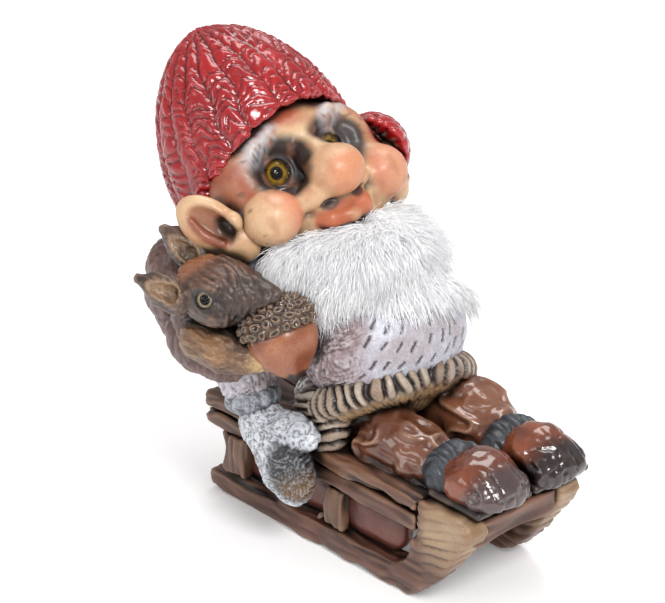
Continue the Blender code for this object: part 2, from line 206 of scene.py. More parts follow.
def join(a, b, soft=1.5):
    """Both shapes, with a fillet of about soft between them."""
    t = clamp(0.5 + 0.5 * (b - a) / soft)
    return b * (1 - t) + a * t - soft * t * (1 - t)


def carve(a, b, soft=1):
    """The first shape without the second, with its new edges rounded by about soft."""
    return -join(-a, b, soft)


def joined(fields, soft=1.5):
    total = fields[0]
    for field in fields[1:]:
        total = join(total, field, soft)
    return total


def limb(p, stations, soft=1.5):
    """A rounded limb through stations (x, y, z, radius)."""
    parts = []
    for start, end in zip(stations, stations[1:]):
        a, along = np.array(start[:3]), np.array(end[:3]) - np.array(start[:3])
        t = clamp((p - a) @ along / (along @ along))
        off = np.sqrt(((p - a - t[:, None] * along) ** 2).sum(1))
        parts.append(off - (start[3] + t * (end[3] - start[3])))
    return joined(parts, soft)


def slab(p, low, high, edge=0.9):
    """A box between two corners with rounded edges."""
    low, high = np.array(low), np.array(high)
    q = np.abs(p - (low + high) / 2) - ((high - low) / 2 - edge)
    outside = np.sqrt((np.maximum(q, 0) ** 2).sum(1))
    return outside + np.minimum(q.max(1), 0) - edge


def outline_distance(y, z, outline):
    """Signed distance in the (y, z) plane to a closed outline."""
    nearest = np.full(len(y), 1e9)
    inside = np.zeros(len(y), bool)
    for (y0, z0), (y1, z1) in zip(outline, outline[1:] + outline[:1]):
        dy, dz = y1 - y0, z1 - z0
        t = clamp(((y - y0) * dy + (z - z0) * dz) / (dy * dy + dz * dz))
        nearest = np.minimum(nearest, (y - y0 - t * dy) ** 2 + (z - z0 - t * dz) ** 2)
        crosses = (z0 > z) != (z1 > z)
        inside ^= crosses & (y < (z - z0) * dy / (dz if dz else 1e-9) + y0)
    return np.where(inside, -1, 1) * np.sqrt(nearest)


def plank(p, outline, x_low, x_high, edge=1):
    """An outline of (y, z) points with thickness along X and rounded edges."""
    flat = outline_distance(p[:, 1], p[:, 2], outline) + edge
    thick = np.abs(p[:, 0] - (x_low + x_high) / 2) - (x_high - x_low) / 2 + edge
    outside = np.sqrt(np.maximum(flat, 0) ** 2 + np.maximum(thick, 0) ** 2)
    return outside + np.minimum(np.maximum(flat, thick), 0) - edge


def spun(q, profile, pivot):
    """A turned solid about Z. Its profile of (radius, height) is smoothed and read by the angle about pivot."""
    angles = [math.atan2(r, h - pivot) for r, h in profile]
    reach = [math.hypot(r, h - pivot) for r, h in profile]
    order = np.argsort(angles)
    angles, reach = np.array(angles)[order], np.array(reach)[order]
    fine = np.linspace(angles[0], angles[-1], 200)
    curve = np.interp(fine, angles, reach)
    for _ in range(60):
        curve[1:-1] = (curve[:-2] + 2 * curve[1:-1] + curve[2:]) / 4
    radius = np.hypot(q[:, 0], q[:, 1])
    angle = np.arctan2(radius, q[:, 2] - pivot)
    return np.hypot(radius, q[:, 2] - pivot) - np.interp(angle, fine, curve)


# ---- meshes


def room(nodes, margin):
    """The box round some CAD nodes, in figure millimetres."""
    boxes = [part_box(n) for n in nodes]
    low = np.min([np.array(b[0]) for b in boxes], axis=0) / MM - OFFSET - margin
    high = np.max([np.array(b[1]) for b in boxes], axis=0) / MM - OFFSET + margin
    return low, high


def surface(field, low, high, voxel):
    """Points and quads where the field is zero. Only the cells near the surface are worked out finely."""
    coarse = 4
    counts = [coarse * int(math.ceil((h - l) / voxel / coarse)) for l, h in zip(low, high)]
    axes = [l + voxel * np.arange(n) for l, n in zip(low, counts)]
    middles = [axis[::coarse] + voxel * (coarse - 1) / 2 for axis in axes]
    blocks = field(np.stack(np.meshgrid(*middles, indexing="ij"), -1).reshape(-1, 3))
    blocks = blocks.reshape([len(m) for m in middles])
    values = blocks
    for axis in range(3):
        values = np.repeat(values, coarse, axis)
    near = np.abs(values) < 2.2 * coarse * voxel
    index = np.argwhere(near)
    points = np.stack([axes[i][index[:, i]] for i in range(3)], 1)
    values = values.copy()
    values[near] = field(points)
    grid = openvdb.FloatGrid(background=5.0)
    grid.copyFromArray(values.astype(np.float32))
    points, quads = grid.convertToQuads(0.0)
    return points.astype(float) * voxel + low, quads.astype(np.int64)


def normals_of(points, quads):
    corners = points[quads]
    facing = np.cross(corners[:, 2] - corners[:, 0], corners[:, 3] - corners[:, 1])
    total = np.stack([gather(quads, facing[:, i], len(points)) for i in range(3)], 1)
    return total / (np.sqrt((total**2).sum(1))[:, None] + 1e-12)


def gather(quads, per_face, count):
    """Sums a value of each face at its corners."""
    return np.bincount(quads.ravel(), np.repeat(per_face, 4), minlength=count)


def neighbours_mean(quads, values):
    """For each point, the mean of values at the points that share an edge with it."""
    a = quads.ravel()
    b = np.roll(quads, -1, axis=1).ravel()
    count = np.bincount(a, minlength=len(values)) + np.bincount(b, minlength=len(values))
    sums = np.bincount(a, values[b], minlength=len(values)) + np.bincount(b, values[a], minlength=len(values))
    return sums / np.maximum(count, 1)


def hollows(points, quads, facing):
    """How far each point lies below the smoothed surface: positive in creases, negative on ridges."""
    smooth = points.copy()
    for _ in range(6):
        smooth = np.stack([neighbours_mean(quads, smooth[:, i]) for i in range(3)], 1)
    return ((smooth - points) * facing).sum(1)


def one_body(points, quads):
    """Keeps the largest connected part."""
    label = np.arange(len(points))
    while True:
        lowest = label[quads].min(1)
        before = label.copy()
        np.minimum.at(label, quads.ravel(), np.repeat(lowest, 4))
        label = label[label]
        if (label == before).all():
            break
    largest = np.bincount(label).argmax()
    keep = label == largest
    renumber = np.cumsum(keep) - 1
    return points[keep], renumber[quads[keep[quads[:, 0]]]]


def as_piece(name, points, faces, node, finish, colours=None):
    """Makes a mesh object from figure millimetres that stands for a CAD node."""
    mesh = bpy.data.meshes.new(name)
    sides = faces.shape[1]
    mesh.vertices.add(len(points))
    mesh.vertices.foreach_set("co", ((points + OFFSET) * MM).astype(np.float32).ravel())
    mesh.loops.add(faces.size)
    mesh.loops.foreach_set("vertex_index", faces.astype(np.int32).ravel())
    mesh.polygons.add(len(faces))
    mesh.polygons.foreach_set("loop_start", np.arange(0, faces.size, sides, dtype=np.int32))
    mesh.update(calc_edges=True)
    mesh.shade_smooth()
    if colours is not None:
        paint = mesh.attributes.new("paint", "FLOAT_COLOR", "POINT")
        paint.data.foreach_set("color", np.clip(colours, 0, 1).astype(np.float32).ravel())
    mesh.materials.append(finish)
    piece = bpy.data.objects.new(name, mesh)
    bpy.context.scene.collection.objects.link(piece)
    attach(piece, "root")
    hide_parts(node)


def sculpt(name, slot, field, relief, paint, finish, voxel=0.5, margin=2.5, shade_depth=0.9):
    """Notes one resin piece to be made in place of the CAD node of its name. relief(points) is a height in mm,
    paint(points, hollow) gives (colour, gloss), and the last argument is how dark the painted shade is
    where pieces crowd together."""
    noted.append((name, slot, field, relief, paint, finish, voxel, margin, shade_depth))


def crowding():
    """How full the space is round each point of a coarse grid over the figure, as (grid, lowest corner)."""
    low, high = room([name for name, *_ in noted], 6)
    shape = np.ceil((high - low) / CROWD_CELL).astype(int) + 1
    full = np.zeros(shape)
    for name, _, field, *_ in noted:
        near_low, near_high = room([name], 2)
        first = np.floor((near_low - low) / CROWD_CELL).astype(int)
        last = np.ceil((near_high - low) / CROWD_CELL).astype(int)
        cells = np.stack(np.meshgrid(*[np.arange(a, b) for a, b in zip(first, last)], indexing="ij"), -1)
        inside = clamp(0.5 - field(low + CROWD_CELL * cells.reshape(-1, 3)) / CROWD_CELL).reshape(last - first)
        part = tuple(slice(a, b) for a, b in zip(first, last))
        full[part] = np.maximum(full[part], inside)
    for _ in range(12):
        for axis in range(3):
            full = (np.roll(full, 1, axis) + 2 * full + np.roll(full, -1, axis)) / 4
    return full, low


def read_grid(grid, low, p):
    """The grid's values at the points p, read between its cells."""
    q = np.clip((p - low) / CROWD_CELL, 0, np.array(grid.shape) - 1.001)
    cell = q.astype(int)
    t = q - cell
    total = np.zeros(len(p))
    for corner in np.ndindex(2, 2, 2):
        weight = np.prod(np.where(corner, t, 1 - t), axis=1)
        total += weight * grid[tuple((cell + corner).T)]
    return total


def build_all():
    """Makes every noted piece, with painted shade where it meets its neighbours."""
    full, corner = crowding()
    for name, slot, field, relief, paint, finish, voxel, margin, shade_depth in noted:
        low, high = room([name], margin)
        points, quads = one_body(*surface(field, low, high, voxel))
        facing = normals_of(points, quads)
        for _ in range(2):
            facing = np.stack([neighbours_mean(quads, facing[:, i]) for i in range(3)], 1)
        facing /= np.sqrt((facing**2).sum(1))[:, None] + 1e-12
        height = relief(points)
        raised = points + facing * height[:, None]
        hollow = hollows(raised, quads, normals_of(raised, quads))
        colour, gloss = paint(points, hollow)
        # Painted shade: darker where the space just off the surface is filled by this and other pieces.
        crowd = read_grid(full, corner, raised + 2 * facing) + 0.05 * noise(points, 2.5, 400)
        crowd = ramp(crowd, *CROWD_RANGE)
        colour = np.clip(colour, 0, 1) ** CONTRAST * (1 - shade_depth * crowd[:, None])
        colours = np.concatenate([colour, np.broadcast_to(gloss, len(points))[:, None]], 1)
        as_piece(f"{name}_sculpt", raised, quads, name, finish, colours)


# ---- finishes


def new_material(name):
    made = bpy.data.materials.new(name)
    made.use_nodes = True
    tree = made.node_tree
    return made, tree.nodes, tree.links, tree.nodes["Principled BSDF"]


def put(node, values):
    """Sets inputs of a shader node by name."""
    for name, value in values.items():
        node.inputs[name].default_value = value


def painted(name, rough_low, rough_high, coat, grain=1800, bump=0.25, speckle=0.25, shine=0.5):
    """Hand-painted resin: the mesh's paint with fine brush noise, glossier where the paint's alpha is high."""
    made, nodes, links, shader = new_material(name)
    paint = nodes.new("ShaderNodeAttribute")
    paint.attribute_name = "paint"
    place = nodes.new("ShaderNodeTexCoord")
    fine = nodes.new("ShaderNodeTexNoise")
    put(fine, {"Scale": grain, "Detail": 5, "Roughness": 0.6})
    level = nodes.new("ShaderNodeMapRange")
    put(level, {"From Min": 0.3, "From Max": 0.7})
    put(level, {"To Min": PAINT_LEVEL * (1 - speckle), "To Max": PAINT_LEVEL * (1 + speckle)})
    tone = nodes.new("ShaderNodeVectorMath")
    tone.operation = "SCALE"
    gloss = nodes.new("ShaderNodeMapRange")
    put(gloss, {"To Min": rough_high, "To Max": rough_low})
    raised = nodes.new("ShaderNodeBump")
    put(raised, {"Strength": bump, "Distance": 0.0002})
    put(shader, {"Specular IOR Level": shine, "Coat Weight": coat, "Coat Roughness": 0.12})
    for start, out, end, socket in (
        (place, "Object", fine, "Vector"),
        (fine, "Fac", level, "Value"),
        (paint, "Color", tone, 0),
        (level, "Result", tone, "Scale"),
        (tone, "Vector", shader, "Base Color"),
        (paint, "Alpha", gloss, "Value"),
        (gloss, "Result", shader, "Roughness"),
        (fine, "Fac", raised, "Height"),
        (raised, "Normal", shader, "Normal"),
    ):
        links.new(start.outputs[out], end.inputs[socket])
    return made


IRIS = painted("iris", 0.2, 0.4, 0, bump=0, speckle=0.1, shine=0.05)
FUR = painted("fur_base", 0.9, 0.95, 0, bump=0.5, speckle=0.1)
RESIN = painted("resin_satin", 0.28, 0.62, 0.15)
GLOSSY = painted("resin_gloss", 0.16, 0.45, 0.45, bump=0.15, speckle=0.15)
SKIN = painted("resin_skin", 0.3, 0.55, 0.12, grain=1200, bump=0.12, speckle=0.07)
WOOD = painted("resin_wood", 0.3, 0.62, 0.1, bump=0.2, speckle=0.14)


def glass_material():
    """Clear glass of the eyes."""
    made, _, _, shader = new_material("eye_glass")
    put(shader, {"Base Color": WHITE, "Roughness": 0.02, "IOR": 1.22, "Transmission Weight": 1})
    return made


def hair_material():
    """White fur fibre, a little uneven in tone."""
    made, nodes, links, shader = new_material("fur_hair")
    place = nodes.new("ShaderNodeTexCoord")
    patches = nodes.new("ShaderNodeTexNoise")
    put(patches, {"Scale": 300})
    links.new(place.outputs["Object"], patches.inputs["Vector"])
    tone = nodes.new("ShaderNodeValToRGB")
    stops = ((0.3, (0.8, 0.8, 0.82, 1)), (0.6, (0.94, 0.94, 0.95, 1)))
    for element, (position, colour) in zip(tone.color_ramp.elements, stops):
        element.position = position
        element.color = colour
    links.new(patches.outputs["Fac"], tone.inputs["Fac"])
    links.new(tone.outputs["Color"], shader.inputs["Base Color"])
    # The hairs glow faintly white: painted light that keeps them bright.
    put(shader, {"Roughness": 0.55, "Emission Color": WHITE, "Emission Strength": 0.07})
    return made


def dirtied(colour, hollow, depth, dark=DARK, most=0.9):
    """Dark wash settled in the hollows."""
    return mix(colour, dark, most * ramp(hollow, 0, depth))


def brushed(colour, hollow, height, pale, most=0.6):
    """Pale paint dragged over the ridges."""
    return mix(colour, pale, most * ramp(-hollow, 0, height))


# ---- cap


def cap_field(p):
    f = face(p)
    q = placed(f, CROWN, CROWN_TURN) / np.array((1, CROWN_DEPTH, 1))
    profile = [(0, -14), (19, -8), (24.2, -4.5), (25.2, 0), (25.4, 8), (24.8, 17), (22.8, 26)]
    profile += [(19.4, 34), (14.4, 41), (8, 46.6), (0, 49.2)]
    crown = spun(q, profile, 10)
    crown = np.maximum(crown, -4.6 - q[:, 2])
    flap = egg(f, (27.6, 12.5, 3.6), (8.4, 13.5, 9.4), (0, 12, -28))
    whole = join(crown, flap, 2.5)
    # The brow opening is a tunnel from the front that stops above the ears.
    brow = np.maximum(np.hypot(f[:, 0], f[:, 2] + 5) - 29.5, f[:, 1] - 8)
    whole = carve(whole, brow, 1.4)
    return carve(whole, egg(f, (-27, 3.4, 6.6), (9.5, 10.5, 12)), 1.2)


def cap_ribs(p):
    """The height of the knitted ribs that run down from the crown."""
    ribs, pitch = 19, 2.9
    q = placed(face(p), CROWN, CROWN_TURN)
    around = np.arctan2(q[:, 0], -q[:, 1] / CROWN_DEPTH)
    down = np.arctan2(np.hypot(q[:, 0], q[:, 1]), q[:, 2] - 8) * 33
    around = around * ribs / (2 * math.pi) + 0.3 * noise(p, 7, 3) + 0.35
    rib = np.floor(around)
    across = 2 * (around - rib) - 1
    strand = down / pitch - 0.9 * np.abs(across) + 0.37 * rib + 0.85 * noise(p, 4, 5)
    step = strand - np.floor(strand)
    bulge = np.sqrt(clamp(1 - across**2))
    leaf = np.sin(math.pi * step**0.7) ** 0.6
    worn = np.clip(0.85 + 0.45 * noise(p, 9, 7), 0.35, 1)
    return worn * (1.55 * bulge * (0.35 + 0.65 * leaf) - 1)


def cap_relief(p):
    q = placed(face(p), CROWN, CROWN_TURN)
    outside = ramp(np.hypot(q[:, 0], q[:, 1] / CROWN_DEPTH) - 20.5, -1, 2)
    outside = np.maximum(outside, ramp(q[:, 2], 20, 26))
    return cap_ribs(p) * outside + 0.15 * rough(p, 1.2, 8)


def cap_paint(p, hollow):
    base = tones(p, (0.5, 0.012, 0.016), (0.36, 0.006, 0.012), 0.8, 7, 2)
    colour = dirtied(base, hollow, 0.36, (0.06, 0.002, 0.005))
    # Pink on the knit's ridges is a painted highlight.
    pale = ramp(-hollow, 0.12, 0.55) * clamp(0.55 + 0.6 * noise(p, 5, 6))
    return mix(colour, (0.78, 0.2, 0.22), 0.55 * pale), 0.75 + 0.2 * noise(p, 3, 9)


def make_cap():
    sculpt("cap", "cap_red", cap_field, cap_relief, cap_paint, GLOSSY)


# ---- head


def head_field(p):
    f = face(p)
    skull = join(egg(f, (0, 16, 7), (23.4, 17, 19)), egg(f, (0, 9, -6), (20, 13, 11)), 4)
    skull = join(skull, egg(f, (0, 8, 17), (14, 8.6, 8.2)), 4)
    for _, side in SIDES:
        skull = join(skull, egg(f, (side * 17.2, 8.5, 9), (6, 8.5, 10)), 5)
    for brow in BROWS:
        skull = join(skull, limb(f, [(*place, 0.8) for place in brow]), 4)
    for x in EYE_X.values():
        skull = carve(skull, egg(f, (x, -1.6, 11), (6.2, 4.6, 5.4)), 2.2)
        q = eye_axes(p, x)
        lids = np.hypot(np.hypot(q[:, 0], 1.15 * q[:, 1]) - 3.9, 0.8 * (q[:, 2] - 0.4)) - 0.5
        pouch = egg(f, (x * 1.05, 0.8, 4.2), (5.4, 2.6, 1.9), (0, 8 * np.sign(x), 0))
        skull = join(join(skull, lids, 1.2), pouch, 1.2)
        skull = carve(skull, np.maximum(np.hypot(q[:, 0], q[:, 1]) - 3.25, -q[:, 2] - 1), 0.3)
    whole = join(join(skull, mouth_field(f), 1.2), nose_field(f), 0.9)
    return join(whole, joined([egg(f, *cheek) for cheek in CHEEKS], 0.5), 3)


def nose_field(f):
    bridge = limb(f, [(0, 1.5, 15, 3.4), (0, -2.5, 9.8, 4), (0, -6, 6.6, 4.8)], 3)
    nose = join(bridge, egg(f, (0.1, -8, 5.6), (7.2, 6.8, 6.4)), 1.6)
    for _, side in SIDES:
        nose = join(nose, egg(f, (side * 5.4, -3.4, 2.4), (5.6, 4.4, 3.6), (0, side * 16, 0)), 2.4)
        nose = carve(nose, egg(f, (side * 4.6, -5.6, -1.4), (2.6, 2.8, 1.6)), 0.5)
    return nose


def mouth_field(f):
    """The muzzle with a full upper lip, a smiling mouth line and a thin lower lip."""
    muzzle = join(egg(f, (0, 0.8, -4), (12.5, 5.5, 6.5)), egg(f, (0, -3.6, -2.4), (8, 3.6, 3.2)), 1.5)
    lip = limb(f, [(-9.6, -1.2, -2.6, 1.3), (-4.8, -4.8, -4.8, 2.4), (0, -6.2, -5.6, 2.1), (4.8, -5, -5.2, 2.4),
                   (9.6, -1.2, -3.4, 1.3)], 1)
    lower = limb(f, [(-5.5, -2.6, -9.6, 1.5), (0, -4, -10.8, 1.9), (5.5, -2.6, -10, 1.5)])
    line = limb(f, [(-10.4, -1, -4.6, 0.7), (-5, -5, -7.8, 0.9), (0, -6, -8.4, 0.7), (5, -5, -8.2, 0.7),
                    (10.4, -1, -5.8, 0.7)], 1)
    return carve(joined([muzzle, lip, lower], 0.7), line, 0.5)


def brow_hairs(f):
    """How much a point lies on an eyebrow."""
    near = np.minimum(*[limb(f, [(*place, 2.6) for place in brow]) for brow in BROWS])
    return ramp(-near, -1.6, 1.2)


def head_relief(p):
    f = face(p)
    return 0.16 * rough(f, 2.4, 20) + 0.14 * brow_hairs(f) * noise(f, (0.5, 2.2, 1.4), 21)


def cheek_near(f):
    """How much a point lies on either cheek."""
    near = np.minimum(*[egg(f, *cheek) for cheek in CHEEKS])
    return ramp(-near, -0.5, 0.3)


def head_paint(p, hollow):
    f = face(p)
    colour = tones(f, (0.76, 0.44, 0.25), CREAM, 0.7, 8, 30)
    nose = ramp(-egg(f, (0.1, -8, 5.6), (7.2, 6.8, 6.4)), -0.6, 0.6)
    cheeks = cheek_near(f)
    temple = ramp(np.abs(f[:, 0]) + 0.4 * f[:, 1], 15, 21) * (1 - cheeks)
    colour = mix(colour, (0.44, 0.13, 0.07), (0.85 - 0.35 * noise(f, 3, 37)) * temple)
    brim = ramp(f[:, 2], 17.5, 22) * ramp(noise(f, 6, 31), -0.8, 0.3)
    colour = mix(colour, (0.66, 0.1, 0.05), 0.85 * brim)
    colour = mix(colour, (0.7, 0.4, 0.24), nose)
    colour = mix(colour, (0.78, 0.2, 0.07), 0.85 * nose * ramp(-f[:, 1] - 0.3 * f[:, 2], 8.6, 12.4))
    colour = mix(colour, (0.8, 0.53, 0.32), cheeks)
    inner = ramp(22 - np.abs(f[:, 0]), -1, 9) * ramp(-f[:, 1] + 0.3 * f[:, 2], 0, 6)
    colour = mix(colour, (0.78, 0.22, 0.13), 0.9 * cheeks * np.maximum(inner, ramp(f[:, 0], 6, 12) * 0.75))
    lips = ramp(-egg(f, (0, -5, -4.8), (10, 3.6, 4.2)), -0.6, 0.8) * (1 - nose) * (1 - cheeks)
    colour = mix(colour, (0.62, 0.17, 0.075), 0.9 * lips)
    nostrils = np.minimum(*[egg(f, (side * 4.2, -5.2, -1.2), (2.6, 3, 1.7)) for _, side in SIDES])
    colour = mix(colour, (0.09, 0.028, 0.018), 0.9 * ramp(-nostrils, -0.5, 0.5))
    gum = ramp(-f[:, 2], 7.2, 8.6) * ramp(10 - np.abs(f[:, 0]), -1, 2)
    colour = mix(colour, (0.11, 0.035, 0.022), 0.85 * gum)
    for x in EYE_X.values():
        socket = ramp(-egg(f, (x, -0.5, 11), (9.4, 8, 8)), -1.6, 1.6)
        socket = socket * (1 - nose) * (1 - cheeks) * ramp(noise(f, 2.6, 32), -1.2, -0.5)
        colour = mix(colour, (0.024, 0.012, 0.012), 0.97 * socket)
        q = eye_axes(p, x)
        # Painted highlight: a blue-grey ring on the lids round each eye.
        lids = ramp(0.75 - np.abs(np.hypot(q[:, 0], 1.15 * q[:, 1]) - 4.3), 0, 0.5) * ramp(q[:, 2], 0.4, 1.2)
        colour = mix(colour, (0.1, 0.11, 0.14), 0.45 * lids * clamp(0.7 + 0.5 * noise(f, 1.4, 34)))
    hairs = clamp(0.85 + 0.9 * noise(f, (0.5, 2.2, 1.4), 21))
    colour = mix(colour, (0.62, 0.61, 0.64), 0.85 * brow_hairs(f) * hairs)
    blotch = ramp(noise(f, 2.2, 36), 0.1, 0.9) * (1 - 0.6 * nose)
    colour = mix(colour, (0.5, 0.2, 0.11), 0.45 * blotch)
    grime = ramp(noise(f, (3.4, 2, 1.1), 38), 0.3, 0.75) * (1 - nose)
    grime = grime * ramp(f[:, 1] + 0.5 * np.abs(f[:, 0]), 5, 10)
    colour = mix(colour, (0.16, 0.055, 0.03), 0.55 * grime)
    return dirtied(colour, hollow, 0.8, (0.08, 0.022, 0.014), 0.9), 0.35


def make_head():
    sculpt("head", "skin", head_field, head_relief, head_paint, SKIN)


def ear_axes(p, label):
    """Points in the axes of an ear, X out of its bowl and Z along it."""
    side = dict(SIDES)[label]
    centre, _ = EARS[label]
    return placed(face(p), centre, (-26, side * 8, side * -42)) * np.array((side, 1, 1))


def ear_field(label, p):
    """The ear's bowl looks out and forwards, its rim curled and its lobe full."""
    size = np.array(EARS[label][1])
    q = ear_axes(p, label)
    bowl = egg(q, (0, 0, 0), size)
    lobe = egg(q, (-0.6, -1.4, -0.8 * size[2]), (3.4, 4.4, 4.2))
    hollow = egg(q, (3.8, -0.8, 1.2), (3.6, 0.66 * size[1], 0.68 * size[2]))
    ridge = limb(q, [(2.2, 1.4, 5.4, 0.8), (2, 2.4, 0.6, 1.1), (2.4, 0.8, -4, 1.1)], 1)
    tragus = egg(q, (1.6, -5.2, -2.4), (2.2, 2.2, 2.8))
    hole = egg(q, (2, -2.6, -2), (3.2, 2.2, 2.8))
    whole = join(carve(join(bowl, lobe, 2.4), hollow, 0.9), ridge, 1)
    return carve(join(whole, tragus, 1), hole, 0.8)


def ear_paint(label, p, hollow):
    size = np.array(EARS[label][1])
    q = ear_axes(p, label)
    inside = ramp(-egg(q, (3.4, -0.8, 1), (4, 0.7 * size[1], 0.7 * size[2])), -0.4, 1.2)
    pit = ramp(-egg(q, (2.4, -2.6, -2), (4.2, 3, 3.8)), -0.8, 1.2)
    colour = tones(p, (0.78, 0.55, 0.34), (0.7, 0.4, 0.22), 0.7, 5, 40)
    colour = mix(colour, (0.34, 0.095, 0.05), 0.88 * inside)
    colour = mix(colour, DARK, 0.95 * pit)
    colour = mix(colour, (0.1, 0.035, 0.024), 0.8 * ramp(-q[:, 0], 0.4, 2.4))
    return dirtied(colour, hollow, 0.8, (0.08, 0.022, 0.014), 0.8), 0.6


def make_ears():
    for label, _ in SIDES:
        name = f"ear_{label}"
        sculpt(name, "skin", partial(ear_field, label), skin_relief, partial(ear_paint, label), SKIN, voxel=0.45)


def skin_relief(p):
    return 0.08 * rough(p, 2, 24)


# ---- beard


def beard_field(p):
    f = face(p)
    chin = egg(f, (-0.5, 1.8, -14.6), (22, 9, 8.6))
    fall = egg(p, (2, -1, 68), (19, 11, 13), (20, 0, 0))
    tip = egg(p, (6, -9, 60), (15, 8.5, 8.5), (20, 0, 0))
    near = egg(f, (-12.5, 0.5, -10.5), (8, 6.5, 6))
    return joined([chin, near, fall, tip], 6) + 1.6


def beard_relief(p):
    return 0.9 * noise(p, (1.6, 5, 5), 50) + 0.4 * noise(p, (0.8, 3, 3), 51)


def beard_paint(p, hollow):
    colour = tones(p, (0.9, 0.9, 0.91), (0.99, 0.99, 0.99), 0.6, 6, 52)
    # Grey in the fur's hollows is painted shade between the tufts.
    return dirtied(colour, hollow, 1.2, (0.55, 0.55, 0.58), 0.8), 0


def fur_mesh(roots, steps, thick):
    """Three-sided tapering hairs. Steps is (hairs, stations, 3): each hair's way from its root."""
    count, stations = len(roots), steps.shape[1] + 1
    spine = np.concatenate([roots[:, None], roots[:, None] + np.cumsum(steps, axis=1)], axis=1)
    side = np.cross(steps[:, 0], (0.31, 0.52, 0.79))
    side /= np.linalg.norm(side, axis=1)[:, None]
    other = np.cross(steps[:, 0] / np.linalg.norm(steps[:, 0], axis=1)[:, None], side)
    rings = []
    for station in range(stations - 1):
        radius = thick * (1 - 0.55 * station / (stations - 1))
        for corner in range(3):
            a = 2 * math.pi * corner / 3
            rings.append(spine[:, station] + radius * (math.cos(a) * side + math.sin(a) * other))
    points = np.stack([*rings, spine[:, -1]], axis=1)
    each = points.shape[1]
    faces = [(2, 1, 0)]
    for station in range(stations - 2):
        for corner in range(3):
            a, b = 3 * station + corner, 3 * station + (corner + 1) % 3
            faces += [(a, b, b + 3), (a, b + 3, a + 3)]
    last = 3 * (stations - 2)
    faces += [(last + corner, last + (corner + 1) % 3, each - 1) for corner in range(3)]
    faces = np.array(faces)[None] + each * np.arange(count)[:, None, None]
    return points.reshape(-1, 3), faces.reshape(-1, 3)


def slope_of(field, p, reach=0.6):
    """The direction in which a field grows."""
    moves = reach * np.eye(3)
    rise = np.stack([field(p + move) - field(p - move) for move in moves], 1)
    return rise / (np.linalg.norm(rise, axis=1)[:, None] + 1e-9)


def make_beard(base, hair):
    """A soft body of fur with loose hairs lying over it, combed down and outwards."""
    sculpt("beard", "fur_white", beard_field, beard_relief, beard_paint, base, voxel=0.8, shade_depth=0.25)
    rng = np.random.default_rng(7)
    low, high = room(["beard"], 1)
    points, _ = surface(beard_field, low, high, 1)
    roots = points[rng.integers(len(points), size=TRIED_ROOTS)] + rng.normal(0, 0.4, (TRIED_ROOTS, 3))
    free = (head_field(roots) > -0.6) & (sweater_field(roots) > 0.4)
    roots = roots[free][:HAIRS]
    out = slope_of(beard_field, roots)
    flow = np.array((0, -0.35, -1)) + 0.055 * (roots[:, :1] - 2) * np.array((1, 0, 0))
    swirl = np.stack([noise(roots, 6, 50 + i) for i in range(3)], 1)
    flow = flow + 0.75 * swirl + rng.normal(0, 0.16, flow.shape)
    flow -= (flow * out).sum(1)[:, None] * out
    flow /= np.linalg.norm(flow, axis=1)[:, None]
    edge = ramp(np.abs(roots[:, 0] - 1), 11, 19) + ramp(64 - roots[:, 2], 0, 10)
    length = (rng.uniform(5, 10, len(roots)) * (1 + 0.7 * clamp(edge)))[:, None]
    lift = rng.uniform(0.25, 0.75, len(roots))[:, None]
    steps = []
    for part, (rise, drop) in enumerate(((1, 0), (0.35, 0.1), (-0.05, 0.3))):
        way = flow + rise * lift * out + rng.normal(0, 0.1 + 0.05 * part, flow.shape)
        way[:, 2] -= drop
        steps.append(way / np.linalg.norm(way, axis=1)[:, None] * length / 3)
    points, faces = fur_mesh(roots - 0.6 * out, np.stack(steps, 1), 0.12)
    as_piece("beard_hairs", points, faces, "beard", hair)


# ---- glass eyes


def eye_axes(p, x):
    """Points in the axes of a gnome's eye, whose glass has its back at 0 and bulges along Z."""
    return aimed(face(p), (x, 2.6, 10.4), (0.013 * x, -1, 0.02))


def dome_field(axes, radius, dome, p):
    q = axes(p)
    ball = egg(q, (0, 0, 0.22 * dome), (radius, radius, 0.78 * dome))
    return np.maximum(ball, -q[:, 2])


def disc_field(axes, radius, p):
    q = axes(p)
    return np.maximum(np.hypot(q[:, 0], q[:, 1]) - radius, np.abs(q[:, 2] + 0.5) - 0.35)


def iris_paint(axes, radius, pupil, inner, outer, p, hollow):
    """A ring of fine radial streaks round a black pupil, darkening at the rim."""
    q = axes(p)
    reach = np.hypot(q[:, 0], q[:, 1]) / radius
    around = np.arctan2(q[:, 1], q[:, 0])
    streak = noise(np.stack([np.cos(around) * 9, np.sin(around) * 9, reach * 1.5], 1), 1, 70)
    colour = mix(inner, outer, ramp(reach, pupil, 0.85) + 0.35 * streak)
    colour = mix(colour, (0.004, 0.004, 0.004), 1 - ramp(reach, pupil - 0.05, pupil + 0.05))
    return mix(colour, (0.01, 0.006, 0.002), ramp(reach, 0.74, 0.96)), 0.1


def flat_relief(p):
    return np.zeros(len(p))


def glass_eye(name, axes, radius, dome, pupil, inner, outer, glass):
    sculpt(f"{name}_iris", "iris_amber", partial(disc_field, axes, 0.98 * radius), flat_relief,
           partial(iris_paint, axes, radius, pupil, inner, outer), IRIS, voxel=0.2, margin=0.8, shade_depth=0)
    low, high = room([f"{name}_glass"], 1)
    points, quads = one_body(*surface(partial(dome_field, axes, radius, dome), low, high, 0.25))
    as_piece(f"{name}_dome", points, quads, f"{name}_glass", glass)


def make_eyes():
    glass = glass_material()
    for label, x in EYE_X.items():
        glass_eye(f"eye_{label}", partial(eye_axes, x=x), EYE_RADIUS, 2.6, 0.48,
                  (0.42, 0.24, 0.02), (0.12, 0.07, 0.012), glass)
    for label in SQUIRREL_EYES:
        glass_eye(f"squirrel_eye_{label}", partial(squirrel_eye_axes, label), 2, 1.4, 0.62,
                  (0.62, 0.52, 0.3), (0.4, 0.32, 0.18), glass)


def pelvis(p):
    return placed(p, PELVIS, PELVIS_TURN)


def hem_axes(p):
    return placed(pelvis(p), (0, 0, 0), (HEM_TILT, 0, 0)) / np.array((1, 0.74, 1))


